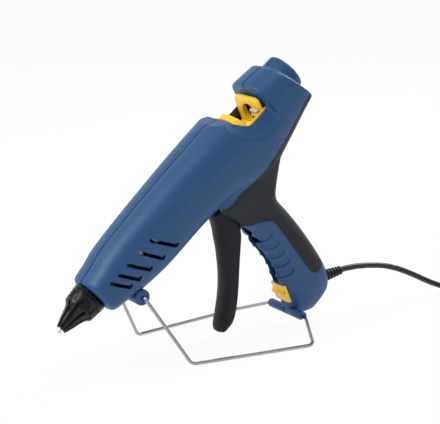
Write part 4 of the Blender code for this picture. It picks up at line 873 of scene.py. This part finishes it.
for k in range(fin_count):
    half = fin_gap / 2
    reach = 0.0240 + 0.0016 * (k % 2)
    outline = [(0.0016, 0.0), (0.0024, -half * 0.5), (reach - half, -half)]
    outline += [(reach - half + half * math.sin(math.pi * t / 8), -half * math.cos(math.pi * t / 8))
                for t in range(1, 8)]
    outline += [(reach - half, half), (0.0024, half * 0.5)]
    blade = bmesh.new()
    plate(blade, outline, 0.0, 0.012)
    turn = Matrix.Rotation(math.pi / 2, 4, "X")
    bmesh.ops.transform(blade, matrix=turn, verts=blade.verts[:])
    lean = Matrix.Translation((guard_start, 0, 0.0039)) @ Matrix.Rotation(-cone_slope, 4, "Y")
    round_axis = Matrix.Rotation(fin_turn + math.tau * k / fin_count, 4, "X")
    bmesh.ops.transform(blade, matrix=round_axis @ lean, verts=blade.verts[:])
    worked(guard, rough_object(blade, "gap"), "DIFFERENCE")
crisp(finished("nozzle_guard", taken(guard), guard_black, "gun_body", ["nozzle_sleeve"]), 38)

brass = finish_coat("nozzle_brass", (0.86, 0.83, 0.77), 0.2, metallic=1.0, grain=400.0, depth=0.08,
                    variation=0.2)
bm = bmesh.new()
nose = [(0.0, 0.0013), (0.0, 0.0023), (0.0003, 0.0027), (0.0042, 0.0031), (0.0232, 0.0078), (0.0467, 0.0078),
        (0.0467, 0.0046), (0.0224, 0.0046), (0.0187, 0.0013)]
turned(bm, nose)
crisp(finished("nozzle_nose", bm, brass, "gun_body", ["nozzle"]), 30)

# Feed carriage: bright yellow acetal. It slides on two steel rods under the window; an arched lip at
# its front is the thumb hold, and the leaning plate at its rear has the hole that takes the stick.
carriage_front, carriage_rear, carriage_half = 0.2290, 0.2600, 0.0165
carriage_base, carriage_deck, rail_top = -0.0175, -0.0100, 0.0045
stick_radius, rod_radius, rod_spread, rod_drop = 0.006, 0.0015, 0.0205, -0.0140
carriage_yellow = finish_coat("carriage_yellow", (1.0, 0.64, 0.022), 0.36, depth=0.15, variation=0.1)
jaw_beige = finish_coat("jaw_beige", (0.72, 0.50, 0.26), 0.5, depth=0.2, variation=0.15)


def upright_plate(bm, outline, low, high, lean=0.0):
    """Outline of (y, z) pulled along the barrel from x = low to high, leaning back as it rises."""
    ends = pulled(bm, [(low, y, z) for y, z in outline], (high - low, 0, 0))
    for vert in ends:
        vert.co.x += lean * (vert.co.z - carriage_deck)
    skin = list({f for v in ends for f in v.link_faces})
    bmesh.ops.recalc_face_normals(bm, faces=skin)
    return skin


def eased(bm, skin, width, segments=3, angle=0.6):
    """Small moulded radius on the sharp edges of a form."""
    sharp = [e for e in {e for f in skin for e in f.edges} if e.calc_face_angle(0.0) > angle]
    bmesh.ops.bevel(bm, geom=sharp, offset=width, segments=segments, profile=0.5, affect="EDGES", material=-1,
                    clamp_overlap=True)


def arch_outline(half, foot, top, power, count=24):
    points = [(-half, foot)]
    for k in range(count + 1):
        c, s = math.cos(math.pi - math.pi * k / count), math.sin(math.pi * k / count)
        points.append((math.copysign(half * abs(c) ** (2 / power), c), top * abs(s) ** (2 / power)))
    return points + [(half, foot)]


carriage_forms = [
    (arch_outline(0.0192, carriage_base, 0.0162, 2.2), carriage_front, carriage_front + 0.0070, 0.0, 0.0011),
    (oblong(-carriage_half, carriage_half, carriage_base, carriage_deck), carriage_front, carriage_rear, 0.0,
     0.0006),
    (oblong(-0.0215, 0.0215, carriage_base, carriage_deck), carriage_front + 0.0010, carriage_rear - 0.0010,
     0.0, 0.0006),
    (oblong(-0.0192, -0.0112, carriage_base, rail_top), carriage_front, carriage_rear, 0.0, 0.0010),
    (oblong(0.0192, 0.0112, carriage_base, -0.0086), carriage_front, carriage_rear, 0.0, 0.0010),
    (arch_outline(0.0184, carriage_base, 0.0146, 6.5), carriage_rear - 0.0112, carriage_rear - 0.0070,
     0.30, 0.0012),
]
carriage = None
for outline, low, high, lean, edge in carriage_forms:
    bm = bmesh.new()
    eased(bm, upright_plate(bm, outline, low, high, lean), edge)
    form = rough_object(bm, "carriage_form")
    carriage = worked(carriage, form, "UNION") if carriage else form
for start, end, radius in ((0.2, carriage_rear - 0.0130, stick_radius + 0.0028),
                           (carriage_rear - 0.0200, 0.3, 0.0096)):
    bm = bmesh.new()
    bar(bm, start, end, radius)
    worked(carriage, rough_object(bm, "channel"), "DIFFERENCE")
well = [(carriage_front + 0.0062, -0.006), (carriage_front + 0.0062, 0.03), (carriage_rear - 0.0090, 0.03),
        (carriage_rear - 0.0135, 0.0), (carriage_rear - 0.0135, -0.006)]
tooled(carriage, "well", [(well, -0.0110, 0.0110), (oblong(0.2366, 0.2455, -0.03, -0.0058), -0.0108, 0.0108)])
bm = bmesh.new()
plate(bm, oblong(carriage_front - 0.001, 0.2380, -0.03, carriage_deck + 0.001), -0.0019, 0.0019)
for side in (-1, 1):
    bar(bm, 0.2, 0.28, rod_radius + 0.00025, 24, (side * rod_spread, rod_drop))
worked(carriage, rough_object(bm, "bores"), "DIFFERENCE")
tooled(carriage, "jaw_slot", [(oblong(carriage_rear - 0.0185, carriage_rear + 0.006, -0.0064, 0.0078),
                               -0.0180, -0.0030)])
crisp(finished("carriage_frame", taken(carriage), carriage_yellow, "carriage", ["feed_carriage"]), 34)

bm = bmesh.new()
jaw_side = [(0.2505, -0.0062), (0.2497, -0.0030), (0.2523, -0.0008), (0.2493, 0.0016), (0.2524, 0.0036),
            (0.2506, 0.0061), (0.2560, 0.0068), (0.2598, 0.0030), (0.2598, -0.0062)]
plate(bm, jaw_side, -0.0160, -0.0055)
eased(bm, bm.faces[:], 0.0003, 2, 0.5)
jaw = rough_object(bm, "jaw")
bm = bmesh.new()
bmesh.ops.create_cone(bm, cap_ends=True, segments=20, radius1=0.00095, radius2=0.00095, depth=0.03,
                      matrix=Matrix.Translation((0.2574, -0.0084, 0.0)))
worked(jaw, rough_object(bm, "pin_hole"), "DIFFERENCE")
crisp(finished("jaw_pawl", taken(jaw), jaw_beige, "jaw", ["grip_jaw"]), 34)

# Flow slider: a yellow acetal button at the handle's lower front. It has a thumb ledge across its
# middle and runs in a slot, and its stem reaches the control board behind.
slider_yellow = finish_coat("slider_yellow", (0.98, 0.60, 0.045), 0.4, depth=0.15, variation=0.08)
button_half, button_proud, button_base = 0.0103, 0.0011, 0.0017
bm = bmesh.new()
travel = slider_foot - slider_top
outline = [(0.0, -button_base), (0.0, button_proud), (0.36, button_proud), (0.43, button_proud + 0.0022),
           (0.53, button_proud + 0.0024), (0.58, button_proud + 0.0016), (0.66, button_proud),
           (1.0, button_proud), (1.0, -button_base)]
outline = [tuple(slider_top + travel * a + slider_out * b) for a, b in outline]
skin = plate(bm, outline, -button_half, button_half)
eased(bm, skin, 0.0005)
button = rough_object(bm, "button")
middle = (slider_top + slider_foot) / 2
stem = [tuple(middle + slider_down * a - slider_out * b)
        for a, b in ((-0.0045, 0.0012), (0.0045, 0.0012), (0.0045, 0.0112), (-0.0045, 0.0112))]
tooled(button, "stem", [(stem, -0.0045, 0.0045)], "UNION")
crisp(finished("slider_button", taken(button), slider_yellow, "flow_slider", ["flow_slider"]), 34)

# Strain relief: black vinyl sleeve, clamped in the heel and cut into rings so that it bends evenly
# with the cord. It tapers to the cord's own thickness.
relief_black = finish_coat("relief_vinyl", (0.007, 0.007, 0.008), 0.45, grain=700.0, depth=0.2)
relief_radius, relief_tip, relief_stem, relief_rings = 0.0058, 0.0039, 0.0068, 6
profile = [(-0.0088, 0.0029), (-0.0088, relief_stem), (-0.0004, relief_stem), (0.0, relief_radius)]
for k in range(relief_rings):
    step = relief_length / relief_rings
    crest = relief_radius + (relief_tip - relief_radius) * (k + 0.5) / relief_rings
    for share, drop in ((0.06, 0.0012), (0.16, 0.0012), (0.24, 0.0003), (0.34, 0.0), (0.70, 0.0),
                        (0.84, 0.0003)):
        profile.append((step * (k + share), crest - drop))
profile += [(relief_length - 0.0004, relief_tip - 0.0004), (relief_length, relief_tip - 0.0008),
            (relief_length, 0.0029)]
bm = bmesh.new()
facing = Matrix.Translation(relief_foot) @ relief_run.to_track_quat("X", "Z").to_matrix().to_4x4()
turned(bm, profile, around=facing)
crisp(finished("cord_sleeve", bm, relief_black, "gun_body", ["strain_relief"]), 40)

# Cord tie: a flat black rubber strap round the wound cord where the lengths lie side by side, its
# corners rounded by the bundle. It is buttoned to itself on top.
tie_rubber = finish_coat("tie_rubber", (0.02, 0.02, 0.022), 0.6, grain=500.0, depth=0.4)
tie_half, tie_thick, tie_corner = 0.0045, 0.0009, 0.0030
tie_near, tie_far, tie_low, tie_high = -0.0948, -0.0591, 0.0010, 0.0133
bm = bmesh.new()
rings = []
for x, out in ((-tie_half, tie_thick), (tie_half, tie_thick), (tie_half, 0.0), (-tie_half, 0.0)):
    ring = []
    for k in range(48):
        turn = math.tau * (k + 0.5) / 48
        corner_y = tie_far - tie_corner if math.cos(turn) > 0 else tie_near + tie_corner
        corner_z = tie_high - tie_corner if math.sin(turn) > 0 else tie_low + tie_corner
        reach = tie_corner + out
        ring.append(Vector((coil_x + x, corner_y + reach * math.cos(turn),
                            corner_z + reach * math.sin(turn))))
    rings.append(ring)
loft(bm, rings, cap=False, closed=True)
eased(bm, bm.faces[:], 0.0002, 2)
on_top = Matrix.Translation((coil_x, (tie_near + tie_far) / 2, tie_high + tie_thick * 0.6))
bmesh.ops.create_uvsphere(bm, u_segments=24, v_segments=12, radius=0.0019,
                          matrix=on_top @ Matrix.Diagonal((1, 1, 0.5, 1)))
bundle_strap = crisp(finished("bundle_strap", bm, tie_rubber, "gun_body", ["cord_tie"], tilted=False), 40)

# Stand: one length of chromed wire. It enters the knob at each side, lies on the bench and passes
# through the groove under the handle's toe, where it clips when it is swung out.
recoat(["stand_wire"], "stand_chrome", (0.36, 0.37, 0.39), 0.14, metallic=1.0, grain=180.0, depth=0.04,
       variation=0.1)

# Screws and pins: zinc-plated pan heads set in round wells of the far half, and ground steel pins
# for the trigger, the link and the jaw. The plating is slightly cloudy.
recoat(["housing_screw_%d" % k for k in range(1, 8)], "screw_plating", (0.56, 0.56, 0.55), 0.32, metallic=1.0,
       grain=350.0, depth=0.12, variation=0.25)
recoat(["trigger_pin", "link_pin_front", "link_pin_rear", "jaw_pin", "guide_rod_left", "guide_rod_right",
        "valve_ball"], "ground_steel", (0.60, 0.61, 0.62), 0.22, metallic=1.0, grain=240.0, depth=0.08,
       variation=0.12)
recoat(["return_spring", "valve_spring"], "spring_steel", (0.36, 0.36, 0.37), 0.30, metallic=1.0, grain=300.0,
       depth=0.1, variation=0.2)
recoat(["feed_link"], "link_steel", (0.42, 0.42, 0.43), 0.40, metallic=1.0, grain=160.0, depth=0.2,
       variation=0.3)

# Melt unit: a die-cast aluminium chamber with ceramic heaters clamped on by steel bands, a thermal
# cut-out, and a red silicone sleeve that takes the stick, all carried by two ceramic-board rings.
# Painted shade: the chamber's grey is set far below bare aluminium, so the inside of the casing seen through
# the vents reads dark.
recoat(["melt_chamber"], "cast_aluminium", (0.26, 0.26, 0.27), 0.50, metallic=1.0, grain=420.0, depth=0.8,
       variation=0.35)
recoat(["heater_upper", "heater_lower"], "heater_ceramic", (0.20, 0.19, 0.17), 0.62, grain=650.0, depth=0.35,
       variation=0.2)
recoat(["heater_band_front", "heater_band_rear", "inlet_clip"], "band_steel", (0.38, 0.37, 0.36), 0.34,
       metallic=1.0, grain=200.0, depth=0.15, variation=0.4)
recoat(["thermal_cutout"], "cutout_shell", (0.62, 0.60, 0.54), 0.28, metallic=1.0, grain=300.0, depth=0.1,
       variation=0.3)
recoat(["inlet_sleeve"], "silicone_red", (0.30, 0.045, 0.028), 0.5, grain=800.0, depth=0.2, variation=0.2)
# Painted shade: the rings are near black, far darker than ceramic board, so the inside of the casing seen
# through the front vent reads dark.
recoat(["front_insulator", "rear_insulator"], "insulator_painted_shade", (0.045, 0.044, 0.042), 0.85, grain=520.0,
       depth=0.9, variation=0.35)

# Inner carriers: black glass-filled nylon plates that hold the guide rods and seat the return
# spring, moulded with the same fine grain as the casing.
recoat(["guide_plate", "rear_plate", "spring_seat"], "carrier_nylon", (0.014, 0.0145, 0.016), 0.55,
       grain=1200.0, depth=0.4, variation=0.15)

# Control board in the handle: green lacquered glass laminate that takes the slider's stem, with a
# pale nylon terminal block.
recoat(["control_board"], "board_lacquer", (0.012, 0.10, 0.035), 0.30, grain=260.0, depth=0.12, variation=0.3)
recoat(["terminal_block"], "terminal_nylon", (0.60, 0.58, 0.52), 0.50, grain=800.0, depth=0.25, variation=0.12)
